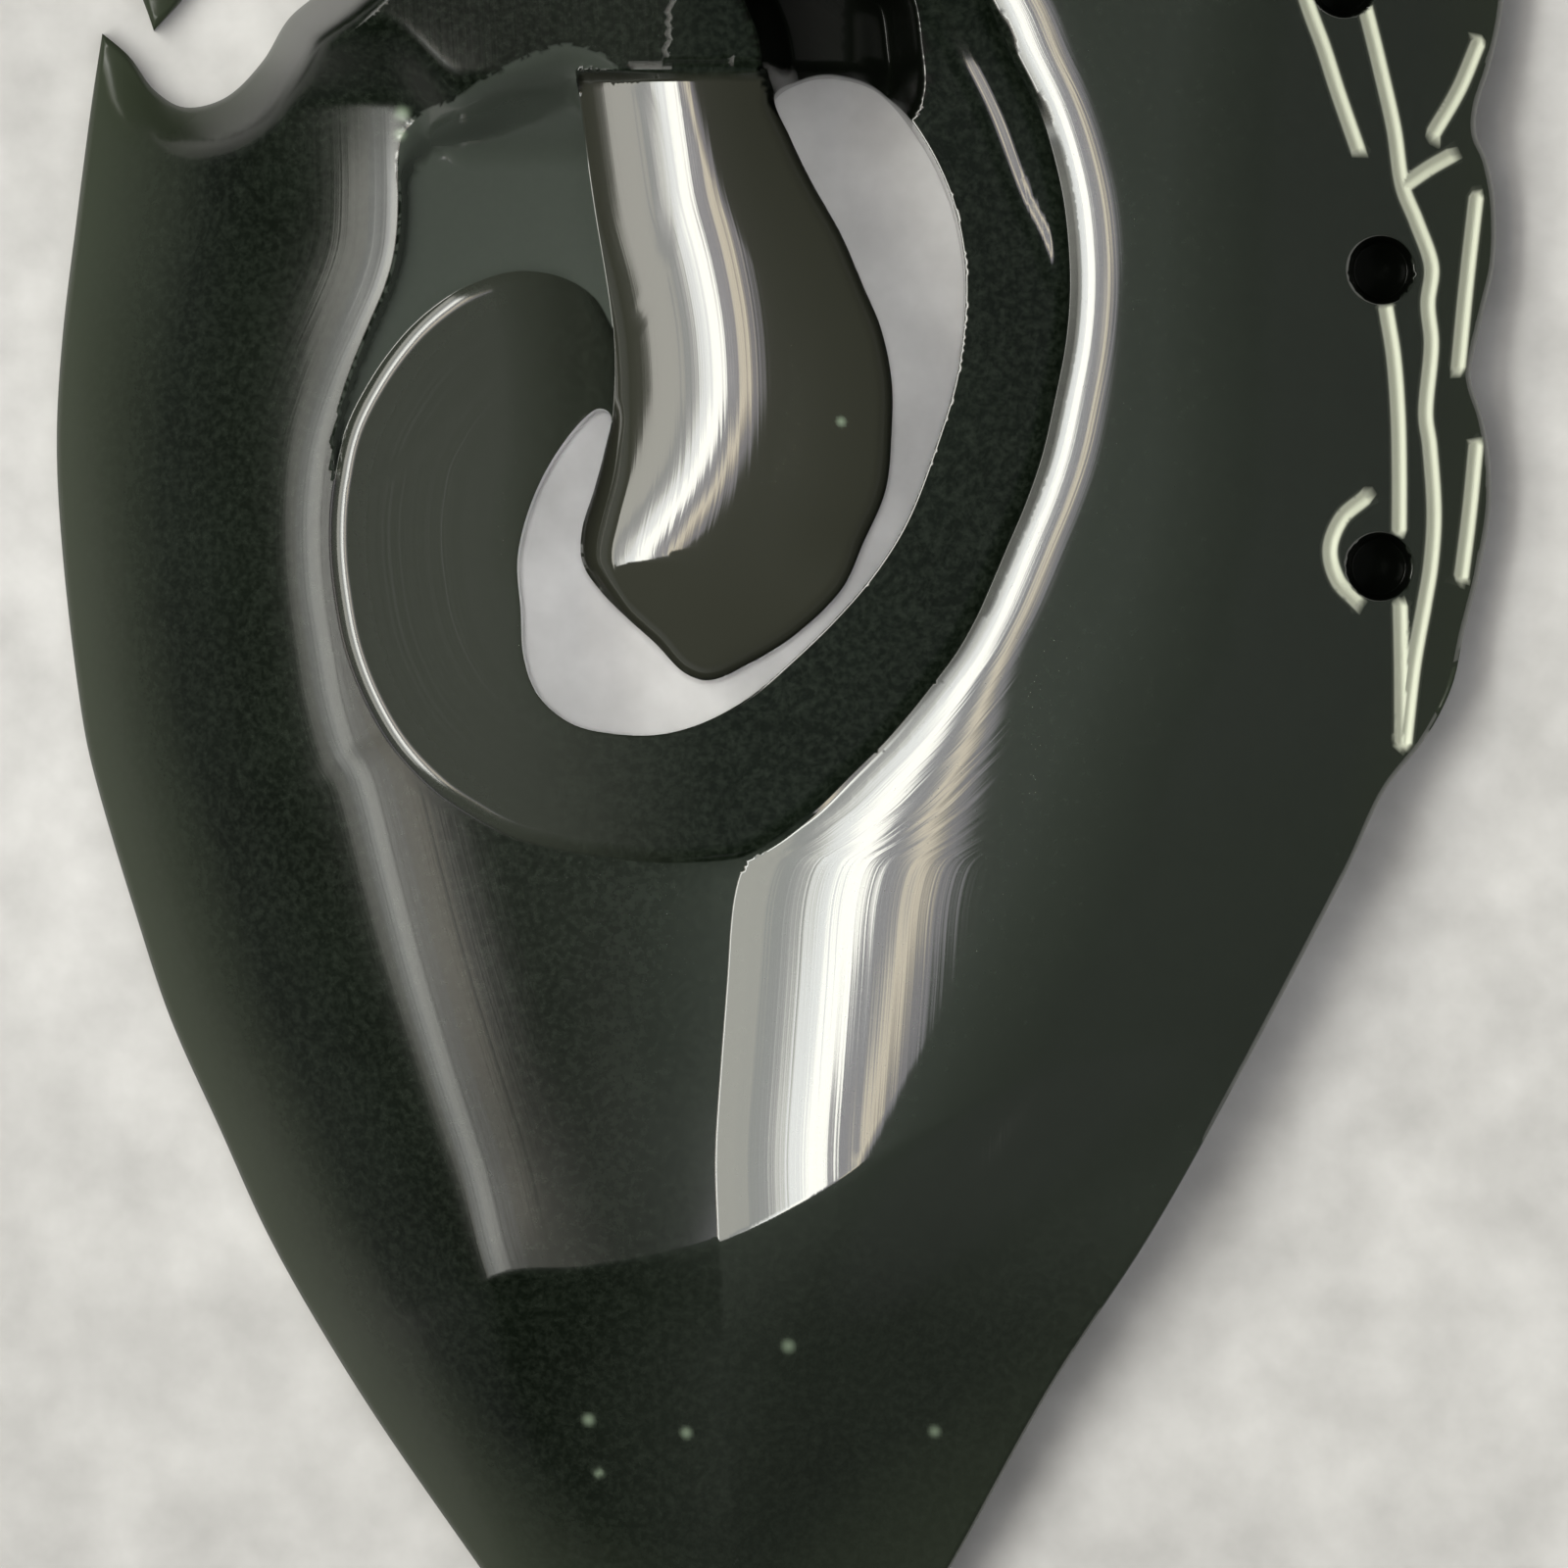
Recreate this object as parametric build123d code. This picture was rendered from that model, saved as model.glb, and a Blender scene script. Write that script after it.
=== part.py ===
from build123d import *

import os

import numpy as np
from scipy.spatial import Delaunay

# A manaia pendant carved from one piece of dark green nephrite, lying on its flat back.
# The carved face looks up, the crown is at +Y, the tail tip at -Y, and the beak opens to -X.
# The origin is the middle of the pendant's box, on the surface that the back rests on.

# Overall sizes in millimetres
width = 35.0
length = 61.6
thickness = 7.0

# Edges and outer form
rim_left = 0.9
back_edge = 0.45
tip_run = 2.0
sharp_turn = 0.6
flank = 9.5
flank_straight = 0.6
dome = 0.25
dome_middle = 0.55

# The long roll down the left side, and the valley beside it
roll_fullness = 0.5
ridge_slope = 0.19
ridge_kink = 0.16
ridge_round = 0.55
valley_lean = 3.2
valley_width = 4.5
left_drop = 1.3

# The slope up to the right field, and the tail
foot_slope = 0.36
ring_slope = 0.30
late_fall = 0.055
late_run = 3.0
tail_slope = 0.20
tail_bend = 0.3
tail_lip = 0.22
tail_lip_width = 3.0
tail_merge = 4.0

# The coiled ring and the tongue
ring_left = 5.4
ring_tilt = 0.045
ring_edge = 0.75
seam_depth = 0.12
ring_inner_edge = 0.1
head_dive = 1.3
head_dive_reach = 3.0
tongue_slope = 0.46
tongue_bend = 0.12
tongue_side = 1.2
tongue_edge = 0.4
tip_slope_loss = 0.18
tip_bend = 0.085
right_fall = 0.35
right_round = 2.2

# The lowered places beside the tongue
recess_depth = 0.55
recess_edge = 0.2
recess_end = 1.6
pocket_depth = 3.2
pocket_wall = 0.9

# Cut lines and drilled pits of the crest
line_width = 0.34
line_depth = 0.22
arm_line_width = 0.7
arm_line_depth = 0.035
pit_diameter = 1.7
pit_floor = 0.75
pit_depth = 1.0

# Hole for a neck cord
cord_hole = 2.5
cord_hole_inset = 5.2

# Where one form passes into the next, along the length from 0 at the tail tip to 1 at the crown
head_along = (0.74, 0.80)
cheek_along = (0.665, 0.710)
recess_along = (0.66, 0.69)
left_along = (0.708, 0.668)
slope_along = (0.395, 0.420)
arm_along = (0.70, 0.80)
crown_along = (0.697, 0.712)
dive_from = (0.50, 0.54)
dive_to = (0.64, 0.62)
tongue_top = (0.7065, 0.7015)
tip_along = (0.585, 0.515)
tip_start = 0.552
late_start = 0.36
tail_highest = 0.40

# The same across the width, from -1 at the left edge to 1 at the right
rim_across = (-0.514, 0.286)
cheek_across = (-0.771, -0.600)
crown_across = (0.200, 0.086)
ring_left_across = -0.611

# Spacing of the mesh's points, and how far they keep from each other
edge_step = 0.75
feature_step = 0.5
field_step = 0.9
edge_rows = (0.35, 1.1, 2.3)
edge_clear = 0.3
slot_clear = 0.12
row_clear = 0.075
seam_gap = 0.04
true_share = 0.93
field_clear = 0.5
row_share = 0.87
pit_corners = 16

# Each row of a table is a place on the plan: across, from -1 at the left edge to 1 at the right,
# and along, from 0 at the tail tip to 1 at the crown.

# Edge from the tail tip up the right side, over the crown and down to the beak tip
RIM = [
    (-0.070, 0.000),
    (0.004, 0.021),
    (0.138, 0.079),
    (0.236, 0.125),
    (0.373, 0.195),
    (0.510, 0.255),
    (0.639, 0.321),
    (0.776, 0.395),
    (0.830, 0.427),
    (0.888, 0.448),
    (0.924, 0.468),
    (0.941, 0.489),
    (0.961, 0.511),
    (0.977, 0.536),
    (0.977, 0.555),
    (0.967, 0.572),
    (0.950, 0.587),
    (0.952, 0.596),
    (0.968, 0.615),
    (0.983, 0.634),
    (0.984, 0.656),
    (0.973, 0.673),
    (0.957, 0.684),
    (0.959, 0.695),
    (0.977, 0.711),
    (0.993, 0.732),
    (0.999, 0.760),
    (0.981, 0.795),
    (0.921, 0.856),
    (0.807, 0.914),
    (0.633, 0.962),
    (0.406, 0.990),
    (0.138, 1.000),
    (-0.130, 0.993),
    (-0.384, 0.970),
    (-0.605, 0.930),
    (-0.779, 0.876),
    (-0.880, 0.817),
    (-0.906, 0.764),
    (-0.866, 0.725),
]

# Line that the sloping flank starts from, over the notches of the crest.
# The third column is the width of the flank there, as a share of the widest, and the fourth is
# the height of the rim, as a share of the thickness.
FLANK = [
    (-0.070, 0.000, 0.40, 0.22),
    (0.138, 0.079, 0.55, 0.30),
    (0.373, 0.195, 0.66, 0.42),
    (0.639, 0.321, 0.68, 0.49),
    (0.776, 0.395, 0.72, 0.45),
    (0.888, 0.448, 0.80, 0.30),
    (0.952, 0.500, 0.86, 0.24),
    (0.982, 0.550, 0.87, 0.23),
    (0.990, 0.640, 0.87, 0.23),
    (0.996, 0.700, 0.85, 0.24),
    (1.000, 0.760, 0.80, 0.26),
    (0.981, 0.795, 0.74, 0.28),
    (0.921, 0.856, 0.64, 0.32),
    (0.807, 0.914, 0.56, 0.35),
    (0.633, 0.962, 0.52, 0.36),
    (0.406, 0.990, 0.50, 0.36),
    (0.138, 1.000, 0.50, 0.36),
    (-0.130, 0.993, 0.50, 0.36),
    (-0.384, 0.970, 0.50, 0.34),
    (-0.605, 0.930, 0.50, 0.32),
    (-0.779, 0.876, 0.48, 0.30),
    (-0.880, 0.817, 0.42, 0.28),
    (-0.906, 0.764, 0.32, 0.26),
    (-0.866, 0.725, 0.22, 0.24),
]

# Edge of the open mouth, from the beak tip round to the lower lip, with the width of the flank there
MOUTH = [
    (-0.866, 0.725, 0.22),
    (-0.813, 0.743, 0.18),
    (-0.779, 0.770, 0.16),
    (-0.716, 0.795, 0.16),
    (-0.618, 0.804, 0.16),
    (-0.552, 0.787, 0.16),
    (-0.572, 0.760, 0.16),
    (-0.625, 0.743, 0.16),
    (-0.679, 0.730, 0.16),
    (-0.716, 0.713, 0.16),
    (-0.766, 0.699, 0.16),
    (-0.823, 0.695, 0.16),
    (-0.866, 0.702, 0.16),
    (-0.900, 0.715, 0.16),
    (-0.937, 0.724, 0.16),
]

# Edge from the lower lip down the left side to the tail tip
LEFT = [
    (-0.937, 0.724),
    (-0.952, 0.696),
    (-0.973, 0.650),
    (-0.992, 0.605),
    (-1.000, 0.563),
    (-0.991, 0.517),
    (-0.967, 0.460),
    (-0.945, 0.430),
    (-0.889, 0.377),
    (-0.842, 0.337),
    (-0.774, 0.294),
    (-0.712, 0.255),
    (-0.644, 0.220),
    (-0.554, 0.179),
    (-0.422, 0.125),
    (-0.317, 0.084),
    (-0.210, 0.042),
    (-0.130, 0.014),
    (-0.070, 0.000),
]

# Ridge of the left roll, from the cheek down past the ring to the tail
RIDGE = [
    (-0.575, 0.776),
    (-0.559, 0.734),
    (-0.552, 0.703),
    (-0.548, 0.677),
    (-0.547, 0.658),
    (-0.551, 0.639),
    (-0.565, 0.624),
    (-0.589, 0.608),
    (-0.613, 0.593),
    (-0.633, 0.578),
    (-0.649, 0.563),
    (-0.658, 0.548),
    (-0.662, 0.529),
    (-0.658, 0.506),
    (-0.646, 0.483),
    (-0.626, 0.462),
    (-0.599, 0.443),
    (-0.575, 0.430),
    (-0.540, 0.392),
    (-0.504, 0.354),
    (-0.463, 0.316),
    (-0.420, 0.278),
    (-0.388, 0.242),
    (-0.334, 0.202),
    (-0.271, 0.163),
    (-0.200, 0.125),
    (-0.113, 0.076),
    (-0.040, 0.030),
]

# The pierced crescent slot, from its upper end down the ring's side and back up the tongue's side
SLOT = [
    (-0.009, 0.697),
    (0.033, 0.705),
    (0.082, 0.706),
    (0.137, 0.700),
    (0.190, 0.682),
    (0.229, 0.660),
    (0.248, 0.638),
    (0.252, 0.617),
    (0.240, 0.588),
    (0.213, 0.562),
    (0.174, 0.533),
    (0.129, 0.512),
    (0.075, 0.494),
    (0.021, 0.479),
    (-0.040, 0.464),
    (-0.102, 0.454),
    (-0.163, 0.449),
    (-0.225, 0.449),
    (-0.286, 0.453),
    (-0.332, 0.464),
    (-0.352, 0.479),
    (-0.356, 0.497),
    (-0.360, 0.518),
    (-0.340, 0.540),
    (-0.303, 0.560),
    (-0.256, 0.575),
    (-0.233, 0.573),
    (-0.241, 0.560),
    (-0.256, 0.544),
    (-0.272, 0.529),
    (-0.272, 0.516),
    (-0.248, 0.505),
    (-0.210, 0.494),
    (-0.171, 0.484),
    (-0.133, 0.473),
    (-0.095, 0.470),
    (-0.040, 0.477),
    (0.021, 0.488),
    (0.082, 0.505),
    (0.112, 0.523),
    (0.143, 0.544),
    (0.151, 0.567),
    (0.151, 0.586),
    (0.137, 0.606),
    (0.112, 0.623),
    (0.082, 0.643),
    (0.044, 0.662),
    (0.013, 0.680),
]

# Outer edge of the coiled ring, from its head beside the tongue, down, round and up the right arm
RING = [
    (-0.229, 0.606),
    (-0.256, 0.619),
    (-0.303, 0.627),
    (-0.364, 0.629),
    (-0.424, 0.624),
    (-0.471, 0.616),
    (-0.517, 0.604),
    (-0.561, 0.587),
    (-0.596, 0.567),
    (-0.613, 0.544),
    (-0.617, 0.525),
    (-0.612, 0.506),
    (-0.597, 0.483),
    (-0.569, 0.462),
    (-0.529, 0.443),
    (-0.475, 0.427),
    (-0.424, 0.417),
    (-0.371, 0.409),
    (-0.304, 0.404),
    (-0.237, 0.401),
    (-0.157, 0.399),
    (-0.079, 0.400),
    (-0.047, 0.402),
    (-0.009, 0.408),
    (0.020, 0.414),
    (0.052, 0.421),
    (0.095, 0.433),
    (0.141, 0.446),
    (0.178, 0.458),
    (0.206, 0.468),
    (0.240, 0.481),
    (0.266, 0.494),
    (0.285, 0.506),
    (0.309, 0.522),
    (0.333, 0.538),
    (0.356, 0.557),
    (0.373, 0.578),
    (0.388, 0.600),
    (0.394, 0.620),
    (0.392, 0.639),
    (0.384, 0.658),
    (0.367, 0.678),
    (0.345, 0.695),
    (0.313, 0.713),
    (0.285, 0.731),
    (0.245, 0.749),
    (0.151, 0.772),
    (0.024, 0.795),
    (-0.123, 0.837),
]

# Foot of the right field's slope up the valley, before it joins the ring's edge
FOOT = [
    (-0.079, 0.148),
    (-0.090, 0.202),
    (-0.095, 0.254),
    (-0.098, 0.285),
    (-0.091, 0.319),
    (-0.082, 0.354),
    (-0.077, 0.376),
    (-0.071, 0.388),
    (-0.061, 0.397),
    (-0.047, 0.402),
]

# Where that slope ends in the level right field
SHOULDER = [
    (0.225, 0.148),
    (0.238, 0.202),
    (0.252, 0.254),
    (0.262, 0.297),
    (0.280, 0.331),
    (0.299, 0.354),
    (0.325, 0.376),
    (0.343, 0.399),
    (0.349, 0.422),
    (0.343, 0.445),
    (0.343, 0.468),
    (0.356, 0.485),
    (0.390, 0.506),
    (0.419, 0.529),
    (0.446, 0.551),
    (0.467, 0.582),
    (0.479, 0.620),
    (0.482, 0.639),
    (0.475, 0.658),
    (0.456, 0.679),
    (0.438, 0.696),
    (0.416, 0.715),
    (0.392, 0.734),
    (0.341, 0.757),
    (0.221, 0.783),
    (0.074, 0.810),
    (-0.123, 0.837),
]

# Where the tail begins to fall away
TAIL_LINE = [
    (-1.000, 0.180),
    (-0.491, 0.228),
    (-0.371, 0.241),
    (-0.264, 0.243),
    (-0.096, 0.253),
    (0.044, 0.271),
    (0.191, 0.297),
    (0.406, 0.323),
    (0.673, 0.338),
    (1.100, 0.350),
]

# Left edge of the tongue, from its square upper end down to its corner
TONGUE_LEFT = [
    (-0.280, 0.7066),
    (-0.278, 0.702),
    (-0.257, 0.658),
    (-0.229, 0.606),
    (-0.230, 0.573),
    (-0.241, 0.560),
    (-0.256, 0.544),
    (-0.272, 0.529),
    (-0.272, 0.516),
    (-0.248, 0.505),
]

# Where the tongue's face turns down to its left side
TONGUE_TURN = [
    (-0.292, 0.745),
    (-0.280, 0.719),
    (-0.269, 0.696),
    (-0.258, 0.673),
    (-0.245, 0.650),
    (-0.221, 0.624),
    (-0.207, 0.601),
    (-0.203, 0.574),
    (-0.206, 0.551),
    (-0.220, 0.532),
    (-0.228, 0.517),
    (-0.210, 0.502),
]

# Tip of the tongue, then its right edge up to the square end
TONGUE_TIP = [
    (-0.248, 0.505),
    (-0.210, 0.494),
    (-0.171, 0.484),
    (-0.133, 0.473),
    (-0.095, 0.470),
    (-0.040, 0.477),
    (0.021, 0.488),
    (0.082, 0.505),
    (0.112, 0.523),
]
TONGUE_RIGHT = [
    (0.112, 0.523),
    (0.143, 0.544),
    (0.151, 0.567),
    (0.151, 0.586),
    (0.137, 0.606),
    (0.112, 0.623),
    (0.082, 0.643),
    (0.044, 0.662),
    (0.013, 0.680),
    (-0.009, 0.697),
    (-0.020, 0.7066),
]

# Lowered ground between the left roll, the tongue and the ring's head.
# Its right and lower sides lie under the tongue and the ring.
RECESS = [
    (-0.525, 0.671),
    (-0.521, 0.658),
    (-0.525, 0.639),
    (-0.538, 0.624),
    (-0.560, 0.609),
    (-0.582, 0.594),
    (-0.601, 0.578),
    (-0.613, 0.561),
    (-0.605, 0.544),
    (-0.531, 0.551),
    (-0.424, 0.582),
    (-0.317, 0.605),
    (-0.210, 0.605),
    (-0.157, 0.639),
    (-0.170, 0.684),
    (-0.210, 0.705),
    (-0.290, 0.716),
    (-0.391, 0.705),
    (-0.438, 0.696),
    (-0.491, 0.690),
    (-0.518, 0.683),
]

# Deep pocket over the upper end of the slot, with its lower side inside the slot
POCKET = [
    (-0.009, 0.690),
    (-0.036, 0.719),
    (-0.058, 0.745),
    (0.058, 0.752),
    (0.168, 0.743),
    (0.194, 0.716),
    (0.190, 0.692),
    (0.110, 0.670),
]

# Lines cut into the crest
CREST_LINES = [
    [
        (0.754, 0.779),
        (0.801, 0.731),
        (0.822, 0.708),
        (0.841, 0.685),
        (0.853, 0.663),
        (0.873, 0.649),
        (0.894, 0.632),
        (0.889, 0.617),
        (0.894, 0.601),
        (0.886, 0.575),
        (0.892, 0.561),
        (0.898, 0.536),
        (0.894, 0.516),
        (0.885, 0.500),
        (0.870, 0.476),
        (0.858, 0.446),
    ],
    [(0.673, 0.776), (0.718, 0.734), (0.742, 0.716), (0.762, 0.699), (0.790, 0.677)],
    [(0.830, 0.615), (0.841, 0.596), (0.847, 0.574), (0.849, 0.551), (0.849, 0.529)],
    [(0.851, 0.499), (0.853, 0.475), (0.854, 0.446)],
    [(0.855, 0.663), (0.890, 0.670), (0.920, 0.675)],
    [(0.897, 0.684), (0.932, 0.701), (0.959, 0.719)],
    [(0.957, 0.659), (0.944, 0.627), (0.932, 0.593)],
    [(0.957, 0.562), (0.948, 0.536), (0.937, 0.511)],
]

# Soft line along the ring's right arm
ARM_LINE = [
    (0.145, 0.757),
    (0.198, 0.734),
    (0.245, 0.711),
    (0.285, 0.688),
    (0.325, 0.658),
    (0.355, 0.641),
    (0.376, 0.625),
]

# Blind drilled pits of the crest
PITS = [(0.824, 0.630), (0.822, 0.5145), (0.770, 0.741)]


def places(table):
    """Turn shares of the plan into millimetres."""
    rows = np.array([row[:2] for row in table])
    return np.column_stack((rows[:, 0] * width / 2, (rows[:, 1] - 0.5) * length))


def walk(points, step, loop=False):
    """Draw a smooth curve through the points and step along it evenly."""
    if loop:
        points = np.vstack((points[-1:], points, points[:2]))
    else:
        points = np.vstack((2 * points[0] - points[1], points, 2 * points[-1] - points[-2]))
    chords = np.sqrt(np.linalg.norm(np.diff(points, axis=0), axis=1))
    knots = np.concatenate(([0], np.cumsum(chords)))
    slopes = (points[2:] - points[:-2]) / (knots[2:] - knots[:-2])[:, None]
    t = np.linspace(0, 1, 16, endpoint=False)[:, None]
    spans = []
    for i in range(1, len(points) - 2):
        span = knots[i + 1] - knots[i]
        start, end = points[i], points[i + 1]
        leave, arrive = slopes[i - 1] * span, slopes[i] * span
        bend = (2 * t**3 - 3 * t**2 + 1) * start + (3 * t**2 - 2 * t**3) * end
        spans.append(bend + (t**3 - 2 * t**2 + t) * leave + (t**3 - t**2) * arrive)
    fine = np.vstack(spans + [points[-2:-1]])
    run = np.concatenate(([0], np.cumsum(np.linalg.norm(np.diff(fine, axis=0), axis=1))))
    count = max(2, int(np.ceil(run[-1] / step)))
    stops = np.linspace(0, run[-1], count + 1)
    line = np.column_stack((np.interp(stops, run, fine[:, 0]), np.interp(stops, run, fine[:, 1])))
    return line[:-1] if loop else line


def beside(line, gap, loop=False):
    """Points at a distance to the left of a line, level with the line's own points."""
    if loop:
        run = np.roll(line, -1, axis=0) - np.roll(line, 1, axis=0)
    else:
        run = np.gradient(line, axis=0)
    run = run / np.linalg.norm(run, axis=1)[:, None]
    return line + np.reshape(gap, (-1, 1)) * np.column_stack((-run[:, 1], run[:, 0]))


def nearest(points, line):
    """Distance to a line, share of the line where it is nearest, and whether that lies on its left."""
    start, along = line[:-1], np.diff(line, axis=0)
    reach = np.sum(along**2, axis=1)
    offset = points[:, None, :] - start[None, :, :]
    t = np.clip(np.sum(offset * along, axis=2) / reach, 0, 1)
    gap = np.linalg.norm(offset - t[:, :, None] * along, axis=2)
    pick = np.argmin(gap, axis=1)
    rows = np.arange(len(points))
    offset = offset[rows, pick]
    on_left = along[pick, 0] * offset[:, 1] >= along[pick, 1] * offset[:, 0]
    return gap[rows, pick], (pick + t[rows, pick]) / len(along), on_left


def inside(points, loop):
    """Say which points lie inside a closed loop."""
    x, y = points[:, :1], points[:, 1:]
    start, end = loop, np.roll(loop, -1, axis=0)
    crosses = (start[:, 1] > y) != (end[:, 1] > y)
    rise = np.where(end[:, 1] == start[:, 1], 1, end[:, 1] - start[:, 1])
    at = start[:, 0] + (y - start[:, 1]) * (end[:, 0] - start[:, 0]) / rise
    return np.sum(crosses & (x < at), axis=1) % 2 == 1


def ease(share):
    """Go smoothly from 0 to 1."""
    share = np.clip(share, 0, 1)
    return share * share * (3 - 2 * share)


def between(value, span):
    """Go smoothly from 0 at the first end of a span to 1 at the other."""
    return ease((value - span[0]) / (span[1] - span[0]))


def fade(share):
    """Fall from 1 at an edge to 0, and run out level."""
    return (1 - np.clip(share, 0, 1)) ** 2


def whole(line):
    """Repeat the first point at the end, for distances to the whole loop."""
    return np.vstack((line, line[:1]))


# The lines of the plan, each once, at the spacing of the mesh
right_edge = walk(places(RIM), edge_step)
flank_line = walk(places(FLANK), edge_step)
mouth_edge = walk(places(MOUTH), feature_step)
left_edge = walk(places(LEFT), edge_step)
outline = np.vstack((right_edge[:-1], mouth_edge[:-1], left_edge[:-1]))
slot = walk(places(SLOT), feature_step, loop=True)
ring_line = walk(places(RING), feature_step)
foot_start = walk(places(FOOT), feature_step)
join = np.linalg.norm(ring_line - foot_start[-1], axis=1).argmin()
foot_line = np.vstack((foot_start[:-1], ring_line[join:]))
shoulder_line = walk(places(SHOULDER), feature_step)
ridge_line = walk(places(RIDGE), feature_step)
tail_line = walk(places(TAIL_LINE), feature_step)
tongue_left = walk(places(TONGUE_LEFT), feature_step)
tongue_turn = walk(places(TONGUE_TURN), feature_step)
tongue_tip = walk(places(TONGUE_TIP), feature_step)
tongue_right = walk(places(TONGUE_RIGHT), feature_step)
arm_line = walk(places(ARM_LINE), feature_step)
recess = walk(places(RECESS), feature_step, loop=True)
pocket = places(POCKET)
crest_lines = [walk(places(table), feature_step) for table in CREST_LINES]
pits = places(PITS)
hole_place = np.array([0.0, length / 2 - cord_hole_inset])

tongue = np.vstack((tongue_left, tongue_tip[1:], tongue_right[1:]))
under_tongue = places([(-0.16, 0.70), (-0.12, 0.62)])
ring = np.vstack((ring_line, under_tongue))


def column(share, line, table, number):
    """A column of a table, read at shares of the line that the table draws."""
    knots = nearest(places(table), line)[1]
    return np.interp(share, knots, [row[number] for row in table])


def flank_rise(share):
    """Rise across a flank from 0 at its edge to 1, straight at first and then easing off."""
    share = np.clip(share, 0, 1)
    steep = 2 / (1 + flank_straight)
    easing = 1 - steep * (1 - share) ** 2 / (2 * (1 - flank_straight))
    return np.where(share < flank_straight, steep * share, easing)


def outer_form(points, across, along):
    """Height of the smooth outer form, of the same with the left side lowered, and with the recess."""
    # The roll climbs from the left edge to its ridge, and leans gently beyond it
    cheek = between(along, cheek_along) * between(across, cheek_across)
    headward = np.maximum(between(along, head_along), cheek)
    to_left_edge, _, _ = nearest(points, left_edge)
    to_ridge, _, in_valley = nearest(points, ridge_line)
    climb = np.where(in_valley, 1, to_left_edge / np.maximum(to_left_edge + to_ridge, 1e-9))
    climb = climb + roll_fullness * climb * (1 - climb)
    rise = climb + (1 - climb) * headward
    to_flank, on_flank, _ = nearest(points, flank_line)
    to_mouth, on_mouth, _ = nearest(points, mouth_edge)
    rise = rise * flank_rise(to_flank / (flank * column(on_flank, flank_line, FLANK, 2)))
    rise = rise * flank_rise(to_mouth / (flank * column(on_mouth, mouth_edge, MOUTH, 2)))
    lean = ridge_slope * valley_lean / 2 * np.where(in_valley, fade(to_ridge / valley_lean), 1)
    lean = lean + ridge_kink / (4 * ridge_round) * np.maximum(ridge_round - to_ridge, 0) ** 2
    lean = lean * (1 - headward)

    # The face falls a little towards the tail, and more below the tail line
    late = np.maximum(late_start - along, 0) * length
    to_tail, _, above_tail = nearest(points, tail_line)
    below = np.where(above_tail | (along > tail_highest), 0, to_tail)
    below = np.where(below < tail_bend, below * below / (2 * tail_bend), below - tail_bend / 2)
    fall = late_fall * late * late / (late + late_run) + tail_slope * below
    fall = fall + tail_lip * (1 - (1 - np.clip(below / tail_lip_width, 0, 1)) ** 3)
    rim_right = thickness * column(on_flank, flank_line, FLANK, 3)
    rim = rim_left + (rim_right - rim_left) * between(across, rim_across)
    top = thickness - rim - dome * (across**2 + (2 * (along - dome_middle)) ** 2) - fall

    # The left side lies lower than the right field, with a slope between them
    to_foot, _, _ = nearest(points, foot_line)
    foot_x = np.interp(points[:, 1], foot_line[:, 1], foot_line[:, 0])
    slope_width = np.interp(points[:, 1], shoulder_line[:, 1], shoulder_line[:, 0]) - foot_x
    slope = foot_slope + (ring_slope - foot_slope) * between(along, slope_along)
    foot_drop = slope * slope_width / 2
    share = (points[:, 0] - foot_x) / np.maximum(slope_width, 1e-9)
    merge = ease(below / tail_merge)
    drop_right = foot_drop * (fade(share) * (1 - merge) + merge)
    far_drop = left_drop * between(along, left_along)
    drop_left = foot_drop + (far_drop - foot_drop) * (1 - fade(to_foot / valley_width))
    level = rim + top * rise
    outer = level - (np.where(share > 0, drop_right, drop_left) + lean) * rise

    # The lowered ground beside the tongue
    to_recess, _, _ = nearest(points, whole(recess))
    recess_wall = recess_edge + (recess_end - recess_edge) * between(along, recess_along)
    ground = level - (far_drop + ridge_slope * valley_lean / 2 + recess_depth) * rise
    lowered = np.where(inside(points, recess), ease(to_recess / recess_wall), 0)
    return level, outer, outer + (ground - outer) * lowered


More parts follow.
